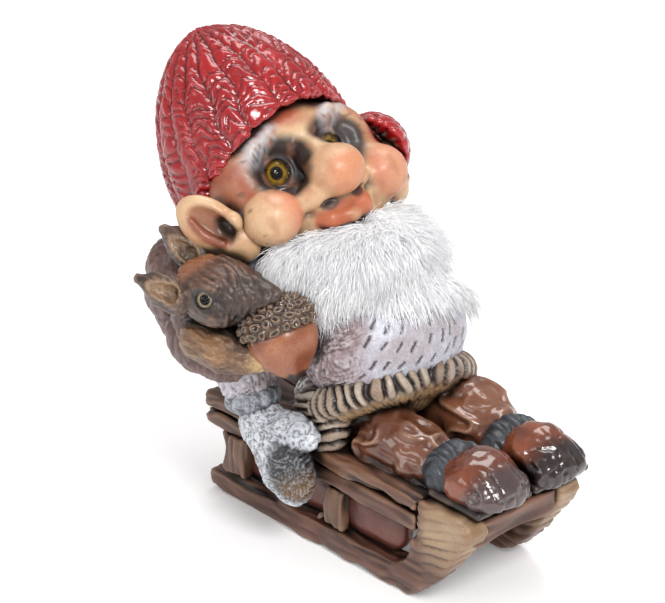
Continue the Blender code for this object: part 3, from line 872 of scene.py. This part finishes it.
def sweater_field(p):
    q = pelvis(p)
    lean = (TORSO_LEAN, 0, 0)
    belly = egg(q, (0, 4, 12), (21.6, 17, 16), lean)
    return join(belly, egg(q, (-0.6, 18, 24), (18.5, 15, 15), lean), 4)


def ticks(u, v, row, seed):
    """Short slanted cuts in staggered rows, 1 in the middle of a cut."""
    line = np.floor(v / row)
    none = np.zeros(len(line))
    u = u + 0.5 * row * (line % 2) + 0.8 * row * lattice(np.stack([line, none, none], 1), seed)
    cell = np.floor(u / row)
    key = np.stack([cell, line, none], 1)
    a = u - (cell + 0.5 + 0.4 * (lattice(key, seed + 1) - 0.5)) * row
    b = v - (line + 0.5 + 0.3 * (lattice(key, seed + 2) - 0.5)) * row
    slope = 0.75 + 0.5 * (lattice(key, seed + 3) - 0.5)
    along, off = slope * a + b, a - slope * b
    return ramp(0.44 * row - np.abs(along), -0.2, 0.3) * ramp(0.34 - np.abs(off), -0.16, 0.16)


def knit_ticks(p):
    q = pelvis(p)
    around = np.arctan2(q[:, 0], 8 - q[:, 1]) * 20
    return ticks(around, q[:, 2] - 0.35 * q[:, 1], 3.9, 80)


def curls(p, size, seed):
    """Short scribbled strokes, from -1 in the scratches to 1."""
    turn = 2.4 * noise(p, 2.2 * size, seed)
    q = np.stack([p[:, 0] * np.cos(turn) + p[:, 2] * np.sin(turn), p[:, 2] * np.cos(turn) - p[:, 0] * np.sin(turn),
                  p[:, 1]], 1)
    strokes = noise(q, (0.34 * size, 1.3 * size, 0.8 * size), seed + 1) + 0.5 * noise(p, 0.4 * size, seed + 2)
    return np.clip(1.7 * strokes, -1, 1)


def wool_relief(p):
    q = pelvis(p)
    belly = ramp(q[:, 0] - 0.5 * q[:, 1], -14, -6)
    lumps = 0.5 * noise(p, 6, 81) + 0.25 * noise(p, 2.2, 82)
    return lumps - 0.55 * knit_ticks(p) * belly + 0.28 * curls(p, 3.4, 83) * (1 - belly)


def wool_paint(p, hollow):
    q = pelvis(p)
    belly = ramp(q[:, 0] - 0.5 * q[:, 1], -14, -4)
    colour = mix((0.36, 0.25, 0.25), (0.66, 0.67, 0.76), belly * 0.9 + 0.35 * noise(p, 6, 84))
    colour = mix(colour, (0.4, 0.3, 0.28), 0.5 * ramp(noise(p, 9, 85), 0.1, 0.7))
    colour = mix(colour, (0.05, 0.04, 0.05), 0.9 * knit_ticks(p) * ramp(belly, 0, 0.4))
    colour = dirtied(colour, hollow, 0.3, (0.06, 0.04, 0.04), 0.85)
    return brushed(colour, hollow, 0.3, (0.82, 0.82, 0.86), 0.6), 0.35


def hem_ring(p):
    profile = [(0, -4.6), (12, -4.6), (20.4, -4.4), (22, -2.4), (22.3, 1), (20.6, 3.8), (12, 4.4), (0, 4.4)]
    return spun(hem_axes(p), profile, 0)


def hem_lobes(p):
    return np.minimum(*[egg(pelvis(p), (side * 17.8, 3.6, -5.4), (5.2, 9.4, 8.2)) for _, side in SIDES])


def hem_field(p):
    return join(hem_ring(p), hem_lobes(p), 3)


def hem_ribs(p):
    """(place across a rib, height above the scalloped lip). The ribs lie level on the side lobes."""
    q = hem_axes(p)
    on_lobe = hem_lobes(p) < hem_ring(p)
    around = np.arctan2(q[:, 0], -q[:, 1]) / (2 * math.pi) * 40
    level = (pelvis(p)[:, 2] + 0.5 * pelvis(p)[:, 1]) / 2.4
    around = np.where(on_lobe, level, around) + 0.45 * noise(p, 5, 90)
    across = 2 * (around - np.floor(around)) - 1
    scallop = 0.5 * np.cos(math.pi * across) + 0.4 * noise(p, 2, 91)
    return across, np.where(on_lobe, 2, q[:, 2] + 3.7 + scallop)


def hem_relief(p):
    across, above = hem_ribs(p)
    rib = 1.3 * ramp(0.86 - np.abs(across), 0, 0.34) - 0.7
    seam = 0.5 * ramp(1 - np.abs(above), 0, 0.8)
    return rib * ramp(above, -0.2, 1.2) + 0.3 * rib * ramp(-above, 0, 1) - seam + 0.2 * noise(p, 1.2, 92)


def hem_paint(p, hollow):
    across, above = hem_ribs(p)
    colour = tones(p, (0.3, 0.19, 0.13), (0.48, 0.38, 0.29), 0.7, 5, 93)
    ridge = ramp(0.6 - np.abs(across), 0, 0.5) * ramp(noise(p, 4, 94), -0.5, 0.6)
    colour = mix(colour, (0.66, 0.6, 0.53), 0.7 * ridge)
    groove = ramp(np.abs(across), 0.46, 0.68) * ramp(above, -0.3, 0.8)
    colour = mix(colour, (0.016, 0.011, 0.01), 0.95 * groove)
    colour = mix(colour, (0.5, 0.32, 0.16), 0.8 * ramp(-above, 0, 0.8))
    return dirtied(colour, hollow, 0.5, DARK, 0.7), 0.4


def sleeve_field(side, p):
    return limb(p, [(side * 16, 20, 64, 8.6), (side * 22, 20, 54, 8.2),
                              (side * 24, 17, 44, 7.2), (side * 25, 14.5, 39.5, 6.2)], 4)


def sleeve_relief(p):
    return 0.5 * noise(p, 5, 100) + 0.35 * curls(p, 4, 101)


def sleeve_paint(p, hollow):
    colour = tones(p, (0.4, 0.28, 0.28), (0.64, 0.6, 0.66), 0.7, 5, 102)
    colour = dirtied(colour, hollow, 0.35, (0.07, 0.045, 0.045), 0.85)
    return brushed(colour, hollow, 0.25, (0.78, 0.76, 0.8), 0.5), 0.35


def mitten_field(side, p):
    hand = egg(p, (side * 25.2, 2, 24.2), (5.7, 7.6, 11.4), (-34, 0, 0))
    back = egg(p, (side * 25, 9.5, 31), (5.6, 7, 6.6))
    thumb = egg(p, (side * 24.6, -0.5, 33), (4.8, 8, 4.6))
    return join(join(hand, back, 2.5), thumb, 1.2)


def palm(p, side):
    """1 on the palm, which looks forwards below the thumb and is painted near-black as shade."""
    return ramp(-egg(p, (side * 26.6, -4.4, 24.6), (6.4, 6.6, 7.6), (-34, 0, 0)), -2.2, 0.4)


def mitten_relief(p):
    return 0.34 * curls(p, 2.8, 110) + 0.25 * noise(p, 2.4, 112)


def mitten_paint(side, p, hollow):
    colour = tones(p, (0.6, 0.63, 0.68), (0.84, 0.86, 0.9), 0.7, 4, 113)
    low = ramp(26 - p[:, 2], -4, 10)
    colour = mix(colour, (0.09, 0.09, 0.11), (0.45 + 0.5 * low) * ramp(hollow, -0.03, 0.12))
    colour = dirtied(colour, hollow, 0.4, (0.05, 0.05, 0.06), 0.85)
    # Painted shade: the palm goes near-black, with a brown-gold tint lower down.
    dark = palm(p, side)
    colour = mix(colour, (0.022, 0.02, 0.024), 0.96 * dark)
    gold = dark * ramp(24 - p[:, 2] - 0.6 * p[:, 1], 0, 8)
    colour = mix(colour, (0.26, 0.14, 0.06), 0.75 * gold)
    return brushed(colour, hollow, 0.3, (0.8, 0.82, 0.86), 0.35), 0.45


def cuff_field(side, p):
    return egg(p, (side * 25, 13.6, 37.4), (6.8, 7.2, 4.6), (-24, 0, 0))


def cuff_relief(p):
    return 0.35 * noise(p, (0.8, 1.6, 4), 115) + 0.2 * curls(p, 2.5, 116)


def cuff_paint(p, hollow):
    colour = tones(p, (0.1, 0.11, 0.13), (0.34, 0.36, 0.4), 0.8, 3, 117)
    colour = dirtied(colour, hollow, 0.3, (0.015, 0.015, 0.02), 0.85)
    return brushed(colour, hollow, 0.25, (0.62, 0.64, 0.68), 0.6), 0.4


def make_clothes():
    sculpt("sweater_body", "wool_white", sweater_field, wool_relief, wool_paint, RESIN)
    sculpt("sweater_hem", "rib_brown", hem_field, hem_relief, hem_paint, RESIN, FINE)
    for label, side in SIDES:
        sculpt(f"sleeve_{label}", "wool_white", partial(sleeve_field, side), sleeve_relief, sleeve_paint, RESIN)
        sculpt(f"mitten_{label}", "mitten_grey", partial(mitten_field, side), mitten_relief,
               partial(mitten_paint, side), RESIN, FINE)
        sculpt(f"mitten_cuff_{label}", "cuff_dark", partial(cuff_field, side), cuff_relief, cuff_paint, RESIN)


def seat_field(p):
    return egg(p, (0.8, 2, 34), (17.5, 15, 9))


def leg_field(x, p):
    """A short thigh and knee: the right one lies low, the left one is drawn up a little."""
    if x < 0:
        stations = [(-5, -6, 30.4, 7.4), (-6.8, -15, 30.8, 7.6), (-6.6, -24, 29.8, 7.4), (-6.6, -32, 29.6, 6.4)]
    else:
        stations = [(10.7, -6, 31, 7.6), (13.6, -16, 32.4, 8), (14.2, -24, 32.6, 8.2), (12.6, -33, 30.2, 6.6)]
    return limb(p, stations, 3)


def leather_relief(p):
    fold = 1 - np.abs(noise(p, (5, 7, 5), 120)) * 2.4
    small = 1 - np.abs(noise(p, (2.2, 3.4, 2.2), 121)) * 2
    return 1.3 * ramp(fold, 0.1, 1) + 0.25 * small - 0.7


def leather_paint(p, hollow):
    colour = tones(p, (0.12, 0.038, 0.022), (0.29, 0.12, 0.066), 0.8, 7, 122)
    colour = dirtied(colour, hollow, 0.6, (0.035, 0.014, 0.01), 0.9)
    return brushed(colour, hollow, 0.45, (0.62, 0.4, 0.28), 0.55), 0.9


def wrap_field(x, p):
    return egg(p, (x, -38.2, 30.8), (8.9, 6, 7.4), (-16, 0, 0))


def wrap_relief(p):
    return 0.55 * noise(p, (0.8, 3.2, 3.2), 125) + 0.2 * noise(p, (0.4, 2, 2), 126)


def wrap_paint(p, hollow):
    colour = tones(p, (0.014, 0.016, 0.022), (0.055, 0.062, 0.078), 0.8, (0.8, 3.2, 3.2), 125)
    colour = dirtied(colour, hollow, 0.35, (0.01, 0.01, 0.014), 0.85)
    colour = brushed(colour, hollow, 0.35, (0.24, 0.25, 0.28), 0.2)
    return mix(colour, (0.46, 0.36, 0.2), 0.6 * ramp(28 - p[:, 2], -1, 2)), 0.45


def boot_field(x, p):
    """A boot with a high instep and a heavy toe cap."""
    foot = egg(p, (x, -47.2, 32), (9.2, 8.8, 7.6), (12, 0, 0))
    toe = join(egg(p, (x - 2.6, -52.8, 31.2), (6, 5.4, 4.8)), egg(p, (x + 2.8, -52.8, 31), (6.2, 5.4, 4.8)), 3)
    return np.maximum(join(foot, toe, 2.6), 28.6 - p[:, 2])


def boot_relief(p):
    creases = ramp(0.16 - np.abs(noise(p, (2.2, 6, 5), 136)), 0, 0.16) * ramp(-p[:, 1], 48, 53)
    return 0.5 * noise(p, 4, 130) + 0.18 * noise(p, 1.4, 131) - 0.5 * creases


def boot_paint(x, p, hollow):
    front = ramp(-p[:, 1] - 0.5 * (p[:, 2] - 30) + 1.2 * noise(p, 4, 132), 46.5, 52)
    colour = tones(p, (0.3, 0.085, 0.035), (0.13, 0.036, 0.02), 0.8, 4, 133)
    # Painted light: the right toe cap is grey-brown and the left near-black, one cap as a lit and a shaded copy.
    toe = (0.022, 0.016, 0.017) if x > 0 else (0.1, 0.068, 0.07)
    colour = mix(colour, toe, 0.95 * front)
    colour = dirtied(colour, hollow, 0.45, DARK, 0.85)
    return brushed(colour, hollow, 0.5, (0.42, 0.3, 0.26), 0.35), 1


def sole_field(x, p):
    return slab(p, (x - 9.2, -55.4, 27.4), (x + 9.2, -38, 29.4), 0.8)


def sole_relief(p):
    return 0.15 * noise(p, 1.5, 135)


def sole_paint(p, hollow):
    colour = mix((0.03, 0.022, 0.02), (0.14, 0.09, 0.07), 0.4 + 0.8 * noise(p, 3, 136))
    return dirtied(colour, hollow, 0.3, (0.008, 0.006, 0.006), 0.8), 0.6


def make_legs():
    sculpt("trouser_seat", "leather", seat_field, leather_relief, leather_paint, GLOSSY)
    for label, x in FOOT_X.items():
        sculpt(f"trouser_leg_{label}", "leather", partial(leg_field, x), leather_relief, leather_paint, GLOSSY)
        sculpt(f"ankle_wrap_{label}", "cuff_dark", partial(wrap_field, x), wrap_relief, wrap_paint, RESIN, FINE)
        sculpt(f"boot_{label}", "boot_brown", partial(boot_field, x), boot_relief, partial(boot_paint, x), GLOSSY)
        sculpt(f"boot_sole_{label}", "sole_dark", partial(sole_field, x), sole_relief, sole_paint, RESIN)


def cup_axes(p):
    return aimed(p, CUP_SEAT, CUP_AXIS)


def cup_field(p):
    return spun(cup_axes(p), [(0, -7.6), (4.5, -7), (8.2, -4.8), (9.9, -1.4), (9.8, 0.6), (0, 0.6)], -2)


def cup_scales(p):
    """Rings of little craters, as (height, how deep in a crater)."""
    q = cup_axes(p)
    row = np.arctan2(np.hypot(q[:, 0], q[:, 1]), -q[:, 2] + 0.5) * 4.2 + 0.3 * noise(p, 2.8, 143)
    line = np.floor(row)
    around = np.arctan2(q[:, 1], q[:, 0]) / (2 * math.pi) * 20 + 0.5 * (line % 2) + 0.35 * noise(p, 2.6, 142)
    off = np.hypot((around - np.floor(around) - 0.5) * 1.05, row - line - 0.5)
    ring = np.exp(-(((off - 0.3) / 0.14) ** 2))
    return 0.75 * ring - 0.25 + 0.2 * noise(p, 1.2, 140), 1 - ramp(off, 0.08, 0.24)


def cup_relief(p):
    return cup_scales(p)[0]


def cup_paint(p, hollow):
    colour = tones(p, (0.06, 0.03, 0.018), (0.16, 0.085, 0.045), 0.7, 2.5, 141)
    colour = mix(colour, (0.012, 0.008, 0.007), 0.9 * cup_scales(p)[1])
    colour = dirtied(colour, hollow, 0.35, (0.012, 0.008, 0.006), 0.9)
    return brushed(colour, hollow, 0.35, (0.4, 0.27, 0.17), 0.65), 0.8


def nut_field(p):
    profile = [(0, 1), (8.8, 1), (9, 3), (7.8, 6.4), (5, 10), (1.6, 12.8), (0, 13.8)]
    nut = spun(cup_axes(p), profile, 4)
    return np.maximum(nut, 0.8 - cup_axes(p)[:, 2])


def nut_relief(p):
    q = cup_axes(p)
    flutes = 0.15 * np.cos(np.arctan2(q[:, 1], q[:, 0]) * 6)
    return flutes + 0.12 * noise(p, 3, 145)


def nut_paint(p, hollow):
    q = cup_axes(p)
    colour = tones(p, (0.3, 0.095, 0.045), (0.46, 0.19, 0.1), 0.8, 4, 146)
    colour = mix(colour, (0.04, 0.015, 0.01), ramp(q[:, 2] + 0.3 * noise(p, 1, 147), 11.2, 12.2))
    return mix(colour, (0.16, 0.05, 0.025), 0.8 * (1 - ramp(q[:, 2], 0.8, 2.4))), 0.85


def fur_relief(sizes, seed, depth, p):
    return depth * noise(p, sizes, seed) + 0.6 * depth * noise(p, np.array(sizes) * 0.5, seed + 1)


def fur_paint(dark, mid, pale, seed, p, hollow):
    """Fur in three tones: dark in the hollows, mid in patches, pale on the ridges."""
    colour = mix(dark, mid, 0.5 + 0.8 * noise(p, 5, seed) + 0.3 * noise(p, (0.7, 3, 1.2), seed + 1))
    colour = dirtied(colour, hollow, 0.25, (0.022, 0.012, 0.01), 0.85)
    return brushed(colour, hollow, 0.25, pale, 0.6), 0.45


def squirrel_eye_axes(label, p):
    x, aside = SQUIRREL_EYES[label]
    return aimed(p, (x, *SQUIRREL_EYE_YZ), (aside, -0.36, 0.22))


def squirrel_head_field(p):
    turn = (-8, 0, 8)
    skull = egg(p, (-33.6, 16, 68), (8.6, 12.5, 8.6), turn)
    muzzle = egg(p, (-30.4, 8, 68.6), (5.2, 7.5, 5.2), turn)
    nose = egg(p, (-29.2, 1.6, 70.2), (2.4, 2, 2))
    brow = egg(p, (-40.2, 13.4, 72.2), (2.2, 4.2, 1.6), turn)
    cheek = egg(p, (-39, 12, 65.6), (3, 5.6, 3.4))
    head = joined([skull, muzzle, nose, brow, cheek], 2)
    for label in SQUIRREL_EYES:
        q = squirrel_eye_axes(label, p)
        rim = np.hypot(np.hypot(q[:, 0], q[:, 1]) - 2.6, q[:, 2] - 0.2) - 0.6
        head = join(head, rim, 0.8)
        head = carve(head, np.maximum(np.hypot(q[:, 0], q[:, 1]) - 2.05, -q[:, 2] - 1.2), 0.2)
    mouth = limb(p, [(-36.6, 6, 64.6, 0.5), (-33.8, 2.6, 65.6, 0.6), (-30.4, 0.6, 66.6, 0.6)], 1)
    return carve(head, mouth, 0.6)


def squirrel_head_paint(p, hollow):
    colour, gloss = fur_paint((0.05, 0.026, 0.02), (0.14, 0.065, 0.042), (0.36, 0.22, 0.15), 150, p, hollow)
    crown = ramp(-egg(p, (-35, 23, 74), (7.5, 7, 6)), -1.5, 2.5)
    colour = mix(colour, (0.46, 0.19, 0.085), 0.75 * crown)
    snout = ramp(-p[:, 1], -11, -5)
    colour = mix(colour, (0.04, 0.03, 0.03), 0.55 * snout)
    for x, _ in SQUIRREL_EYES.values():
        rim = ramp(-egg(p, (x, *SQUIRREL_EYE_YZ), (3.4, 3.4, 3.4)), -0.6, 0.5)
        colour = mix(colour, (0.014, 0.01, 0.01), 0.9 * rim)
    return colour, gloss


SQUIRREL_EARS = {
    "right": [(-39, 23, 66, 5.4), (-41.6, 26.6, 67.4, 4.2), (-45, 32, 69.2, 1.2)],
    "left": [(-31, 26, 72.4, 4.8), (-32.8, 29.6, 75.4, 4), (-35.2, 33.6, 78.6, 1.4)],
}


def ear_bowl(label, near, far):
    """Stations of the hollow in front of a squirrel's ear, its radius going from near to far."""
    stations = SQUIRREL_EARS[label]
    a, b = np.array(stations[0][:3]), np.array(stations[-1][:3])
    middle = (a + b) / 2 + np.array((-3.4, -2, 1.6))
    return [(*(middle + 0.35 * (a - b)), near), (*(middle - 0.28 * (a - b)), far)]


def squirrel_ear_field(label, p):
    return carve(limb(p, SQUIRREL_EARS[label], 2), limb(p, ear_bowl(label, 2.2, 0.8), 1), 0.9)


def squirrel_ear_paint(label, p, hollow):
    bowl = ramp(-limb(p, ear_bowl(label, 2.9, 1.6), 1), -0.6, 0.6)
    colour, gloss = fur_paint((0.07, 0.04, 0.032), (0.15, 0.085, 0.06), (0.36, 0.25, 0.18), 155, p, hollow)
    return mix(colour, (0.52, 0.34, 0.2), 0.8 * bowl * (0.7 + 0.4 * noise(p, (0.6, 2, 2), 156))), gloss


ARMS = {
    "right": [(-36, 19, 55, 5.8), (-35.6, 11, 54.6, 5.4), (-34.2, 5.5, 54.2, 3.6), (-32.6, 2, 54.2, 2.6)],
    "left": [(-21, 17, 59, 4), (-15.4, 8, 64.5, 3.2), (-15.6, 2.5, 67, 2.6)],
}


def squirrel_arm_field(label, p):
    """A furry arm that ends in four claws."""
    stations = ARMS[label]
    arm = limb(p, stations, 2)
    wrist, hand = np.array(stations[-2][:3]), np.array(stations[-1][:3])
    ahead = (hand - wrist) / np.linalg.norm(hand - wrist)
    for step in (-1.5, -0.5, 0.5, 1.5):
        root = hand + np.array((0.35, 0, 1)) * step * 1.15
        tip = root + ahead * 2.6 + np.array((1.4, 0, -0.2))
        arm = join(arm, limb(p, [(*root, 0.95), (*tip, 0.55)], 0.5), 0.4)
    return arm


def squirrel_arm_paint(label, p, hollow):
    hand = np.array(ARMS[label][-1][:3])
    reach = np.sqrt(((p - hand) ** 2).sum(1))
    colour, gloss = fur_paint((0.12, 0.06, 0.035), (0.34, 0.18, 0.085), (0.56, 0.38, 0.22), 160, p, hollow)
    return mix((0.58, 0.4, 0.2), colour, ramp(reach, 2.2, 5)), gloss


def squirrel_leg_field(p):
    thigh = egg(p, (-33.2, 25.4, 51), (6, 9, 7.4), (25, 0, 0))
    foot = limb(p, [(-33.4, 22, 48, 4.2), (-32, 17.5, 46.4, 3.2), (-30.6, 14, 45.8, 2.4)], 2)
    return join(thigh, foot, 1.5)


def squirrel_body_field(p):
    return egg(p, (-28, 23, 55), (11, 12, 14.5), (-12, 0, 0))


def squirrel_tail_field(p):
    return limb(p, [(-24, 34, 44, 4), (-27, 36.5, 50, 5.4), (-28.5, 38, 58, 7),
                    (-28.5, 37.6, 66, 6.4), (-27.6, 35, 71, 4)], 3)


def make_squirrel():
    sculpt("acorn_cup", "acorn_cup", cup_field, cup_relief, cup_paint, GLOSSY, voxel=0.3)
    sculpt("acorn_nut", "acorn_nut", nut_field, nut_relief, nut_paint, RESIN, FINE)
    sculpt("squirrel_head", "squirrel_brown", squirrel_head_field, partial(fur_relief, (0.8, 3, 1.4), 170, 0.34),
           squirrel_head_paint, RESIN, voxel=0.4)
    for label, _ in SIDES:
        sculpt(f"squirrel_ear_{label}", "squirrel_brown", partial(squirrel_ear_field, label),
               partial(fur_relief, (0.7, 3, 1), 172, 0.22), partial(squirrel_ear_paint, label), RESIN, voxel=0.36)
        sculpt(f"squirrel_arm_{label}", "squirrel_brown", partial(squirrel_arm_field, label),
               partial(fur_relief, (0.9, 2.6, 0.9), 174, 0.25), partial(squirrel_arm_paint, label), RESIN, voxel=0.36)
    mauve = partial(fur_paint, (0.1, 0.05, 0.045), (0.19, 0.095, 0.08), (0.34, 0.22, 0.19), 176)
    for name, field in (
        ("squirrel_hind_leg", squirrel_leg_field),
        ("squirrel_body", squirrel_body_field),
        ("squirrel_tail", squirrel_tail_field),
    ):
        sculpt(name, "squirrel_brown", field, partial(fur_relief, (1, 1.4, 3.4), 178, 0.3), mauve, RESIN)


def arc(centre, radius, start, end, steps):
    """Points (y, z) on an arc, angles in degrees."""
    angles = [math.radians(start + (end - start) * i / steps) for i in range(steps + 1)]
    return [(centre[0] + radius * math.cos(a), centre[1] + radius * math.sin(a)) for a in angles]


def runner_outline():
    """Side of a runner: flat on the ground, curling up in front into a block that reaches the deck."""
    curl = [(-35, 0), (-40.6, 3.8), (-45.8, 9.2), (-50, 15), (-53.8, 20.2), (TIP, 24), (-54.6, 26.4),
            (-50.8, DECK_TOP), (-37.6, DECK_TOP), (-37.6, 18.4)]
    return curl + arc((-26.5, 16), 9.4, 180, 270, 6) + arc((35, 3), 3, 90, -60, 4) + [(35, 0)]


def runner_field(side, p):
    x_low, x_high = sorted((side * (HALF_WIDTH - RUNNER_WIDTH), side * HALF_WIDTH))
    return plank(p, runner_outline(), x_low, x_high, 1.2)


def grain(p, along, seed):
    """Wood grain running along axis 0, 1 or 2, as (fine lines, deep cracks)."""
    fine, coarse = np.full(3, 0.85), np.full(3, 2.0)
    fine[along], coarse[along] = 13, 20
    bent = p + 1.1 * noise(p, 8, seed)[:, None]
    return noise(bent, fine, seed + 1), ramp(noise(bent, coarse, seed + 2), 0.28, 0.6)


def wood_relief(along, seed, p):
    fine, cracks = grain(p, along, seed)
    return 0.42 * fine - 2.1 * 0.42 * cracks + 0.6 * noise(p, 6.5, seed + 4)


def wood_paint(along, seed, tone, p, hollow):
    """Dark stained wood with paler worn patches, as strong as tone says."""
    fine, cracks = grain(p, along, seed)
    colour = mix((0.075, 0.027, 0.02), (0.21, 0.082, 0.052), 0.45 + 0.5 * fine + 0.4 * noise(p, 7, seed + 5))
    colour = mix(colour, (0.5, 0.34, 0.2), 0.5 * tone * (0.8 + 0.4 * noise(p, 4, seed + 6)))
    colour = mix(colour, (0.03, 0.016, 0.012), 0.85 * cracks)
    colour = dirtied(colour, hollow, 0.5, DARK, 0.85)
    return brushed(colour, hollow, 0.45, (0.42, 0.26, 0.17), 0.5), 0.5 + 0.3 * fine


def curl_grooves(p):
    """Layered grooves that run round the front of a runner, 1 in a groove, and how far forward a point is."""
    ahead = ramp(-p[:, 1], 37, 42)
    level = (p[:, 2] + 0.3 * (p[:, 1] + 45) + 1.4 * noise(p, 7, 190)) / 2.6
    return ramp(0.24 - np.abs(level - np.floor(level) - 0.5), 0, 0.2), ahead


def runner_relief(p):
    fine, cracks = grain(p, 1, 191)
    groove, ahead = curl_grooves(p)
    plain = 0.35 * fine - 0.6 * cracks
    low = ramp(22 - p[:, 2], -2, 6)
    return plain * (1 - 0.8 * ahead) - 0.45 * groove * ahead * low + 0.35 * noise(p, 4.5, 195)


def runner_paint(p, hollow):
    groove, ahead = curl_grooves(p)
    colour, gloss = wood_paint(1, 191, 0.08, p, hollow)
    high = ramp(p[:, 2], 8, 20)
    dark = mix((0.16, 0.085, 0.055), (0.34, 0.21, 0.12), high)
    light = mix((0.28, 0.16, 0.11), (0.52, 0.37, 0.23), high)
    front = mix(dark, light, 0.5 + 0.7 * noise(p, 4, 196))
    front = mix(front, (0.2, 0.09, 0.06), 0.5 * groove * clamp(0.6 + 0.6 * noise(p, 5, 198)))
    front = mix(front, (0.16, 0.1, 0.075), ramp(10 - p[:, 2], 0, 7) * ramp(noise(p, 3, 197), -0.6, 0.4))
    front = dirtied(front, hollow, 0.5, (0.05, 0.025, 0.018), 0.8)
    return mix(colour, front, ahead), gloss


def panel_relief(p):
    swell = 0.9 * ramp(18 - p[:, 2], 0, 4) * ramp(p[:, 2], 7, 10.5)
    return swell + 0.3 * noise(p, 4, 200) + 0.15 * noise(p, 1.5, 201)


def panel_paint(p, hollow):
    colour = tones(p, (0.12, 0.036, 0.026), (0.26, 0.08, 0.05), 0.8, 6, 202)
    edge = np.maximum(ramp(p[:, 2], 14.5, 18), ramp(10.5 - p[:, 2], 0, 3))
    colour = mix(colour, DARK, 0.75 * edge)
    return dirtied(colour, hollow, 0.35, DARK, 0.7), 0.8


def box_field(node):
    """A timber that fills its CAD node's box."""
    low, high = room([node], 0)
    return lambda p: slab(p, low, high, 0.9)


def make_sled():
    panel = [(-30, 18.2), (31, 18.2), (31, 7), (-27, 7), (-30, 12)]
    middle = [(-12, 18.2), (-5.6, 18.2), (-5, 12), (-1.5, 7), (-11.4, 7)]
    for label, side in SIDES:
        sculpt(f"runner_{label}", "timber_pale", partial(runner_field, side), runner_relief, runner_paint, WOOD)
        x_low, x_high = sorted((side * 12.8, side * 15.4))
        sculpt(f"side_panel_{label}", "panel", partial(plank, outline=panel, x_low=x_low, x_high=x_high, edge=0.6),
               panel_relief, panel_paint, RESIN, voxel=0.8, margin=1.5)
        x_low, x_high = sorted((side * 15.8, side * HALF_WIDTH))
        sculpt(f"middle_post_{label}", "timber", partial(plank, outline=middle, x_low=x_low, x_high=x_high, edge=0.9),
               partial(wood_relief, 2, 210), partial(wood_paint, 2, 210, 0.5), WOOD)
    timbers = [("foot_bar", 0, 0.1)]
    timbers += [(f"{place}_cross_bearer", 0, 0) for place in ("front", "middle", "rear")]
    for name, along, tone in (
        ("side_rail", 1, 0.15),
        ("rear_post", 2, 0.35),
        ("inner_deck_board", 1, 0.15),
        ("outer_deck_board", 1, 0.3),
    ):
        timbers += [(f"{name}_{label}", along, tone) for label, _ in SIDES]
    for number, (name, along, tone) in enumerate(timbers):
        seed = 220 + 10 * number
        sculpt(name, "timber", box_field(name), partial(wood_relief, along, seed),
               partial(wood_paint, along, seed, tone), WOOD, voxel=0.55, margin=1.5)


def aim(name, data, place, target):
    """A light or a camera at place that looks at target."""
    made = bpy.data.objects.new(name, data)
    made.location = place
    made.rotation_euler = (Vector(target) - Vector(place)).to_track_quat("-Z", "Y").to_euler()
    bpy.context.scene.collection.objects.link(made)
    return made


def make_stage():
    made, _, _, shader = new_material("floor")
    put(shader, {"Base Color": (0.92, 0.92, 0.92, 1), "Roughness": 0.9})
    put(shader, {"Emission Color": WHITE, "Emission Strength": 0.16})
    mesh = bpy.data.meshes.new("floor")
    reach = 4
    mesh.from_pydata([(-reach, -reach, 0), (reach, -reach, 0), (reach, reach, 0), (-reach, reach, 0)], [],
                     [(0, 1, 2, 3)])
    mesh.materials.append(made)
    floor = bpy.data.objects.new("floor", mesh)
    floor.location.z = -0.0002
    bpy.context.scene.collection.objects.link(floor)


def make_light():
    world = bpy.data.worlds.new("studio")
    bpy.context.scene.world = world
    world.use_nodes = True
    put(world.node_tree.nodes["Background"], {"Color": WHITE, "Strength": 0.55})
    for name, place, size, power in (
        ("key", (-0.25, -0.75, 0.85), 0.4, 8.5),
        ("top", (0.35, 0.2, 1), 0.6, 5),
        ("side", (-0.95, 0.1, 0.45), 0.5, 2),
    ):
        data = bpy.data.lights.new(name, "AREA")
        data.shape = "DISK"
        data.size = size
        data.energy = power
        aim(name, data, place, (0, 0, 0.05))
    bpy.context.scene.view_settings.view_transform = "Standard"


def make_camera():
    place = (np.array((-534.1, -570.7, 449.4)) + OFFSET) * MM
    target = (np.array((10.04, 23.15, 47.84)) + OFFSET) * MM
    data = bpy.data.cameras.new("camera")
    data.lens = 194.9
    data.sensor_width = 36
    bpy.context.scene.camera = aim("camera", data, place, target)


def main():
    make_cap()
    make_head()
    make_ears()
    make_beard(FUR, hair_material())
    make_eyes()
    make_clothes()
    make_legs()
    make_squirrel()
    make_sled()
    build_all()
    make_stage()
    make_light()
    make_camera()


main()
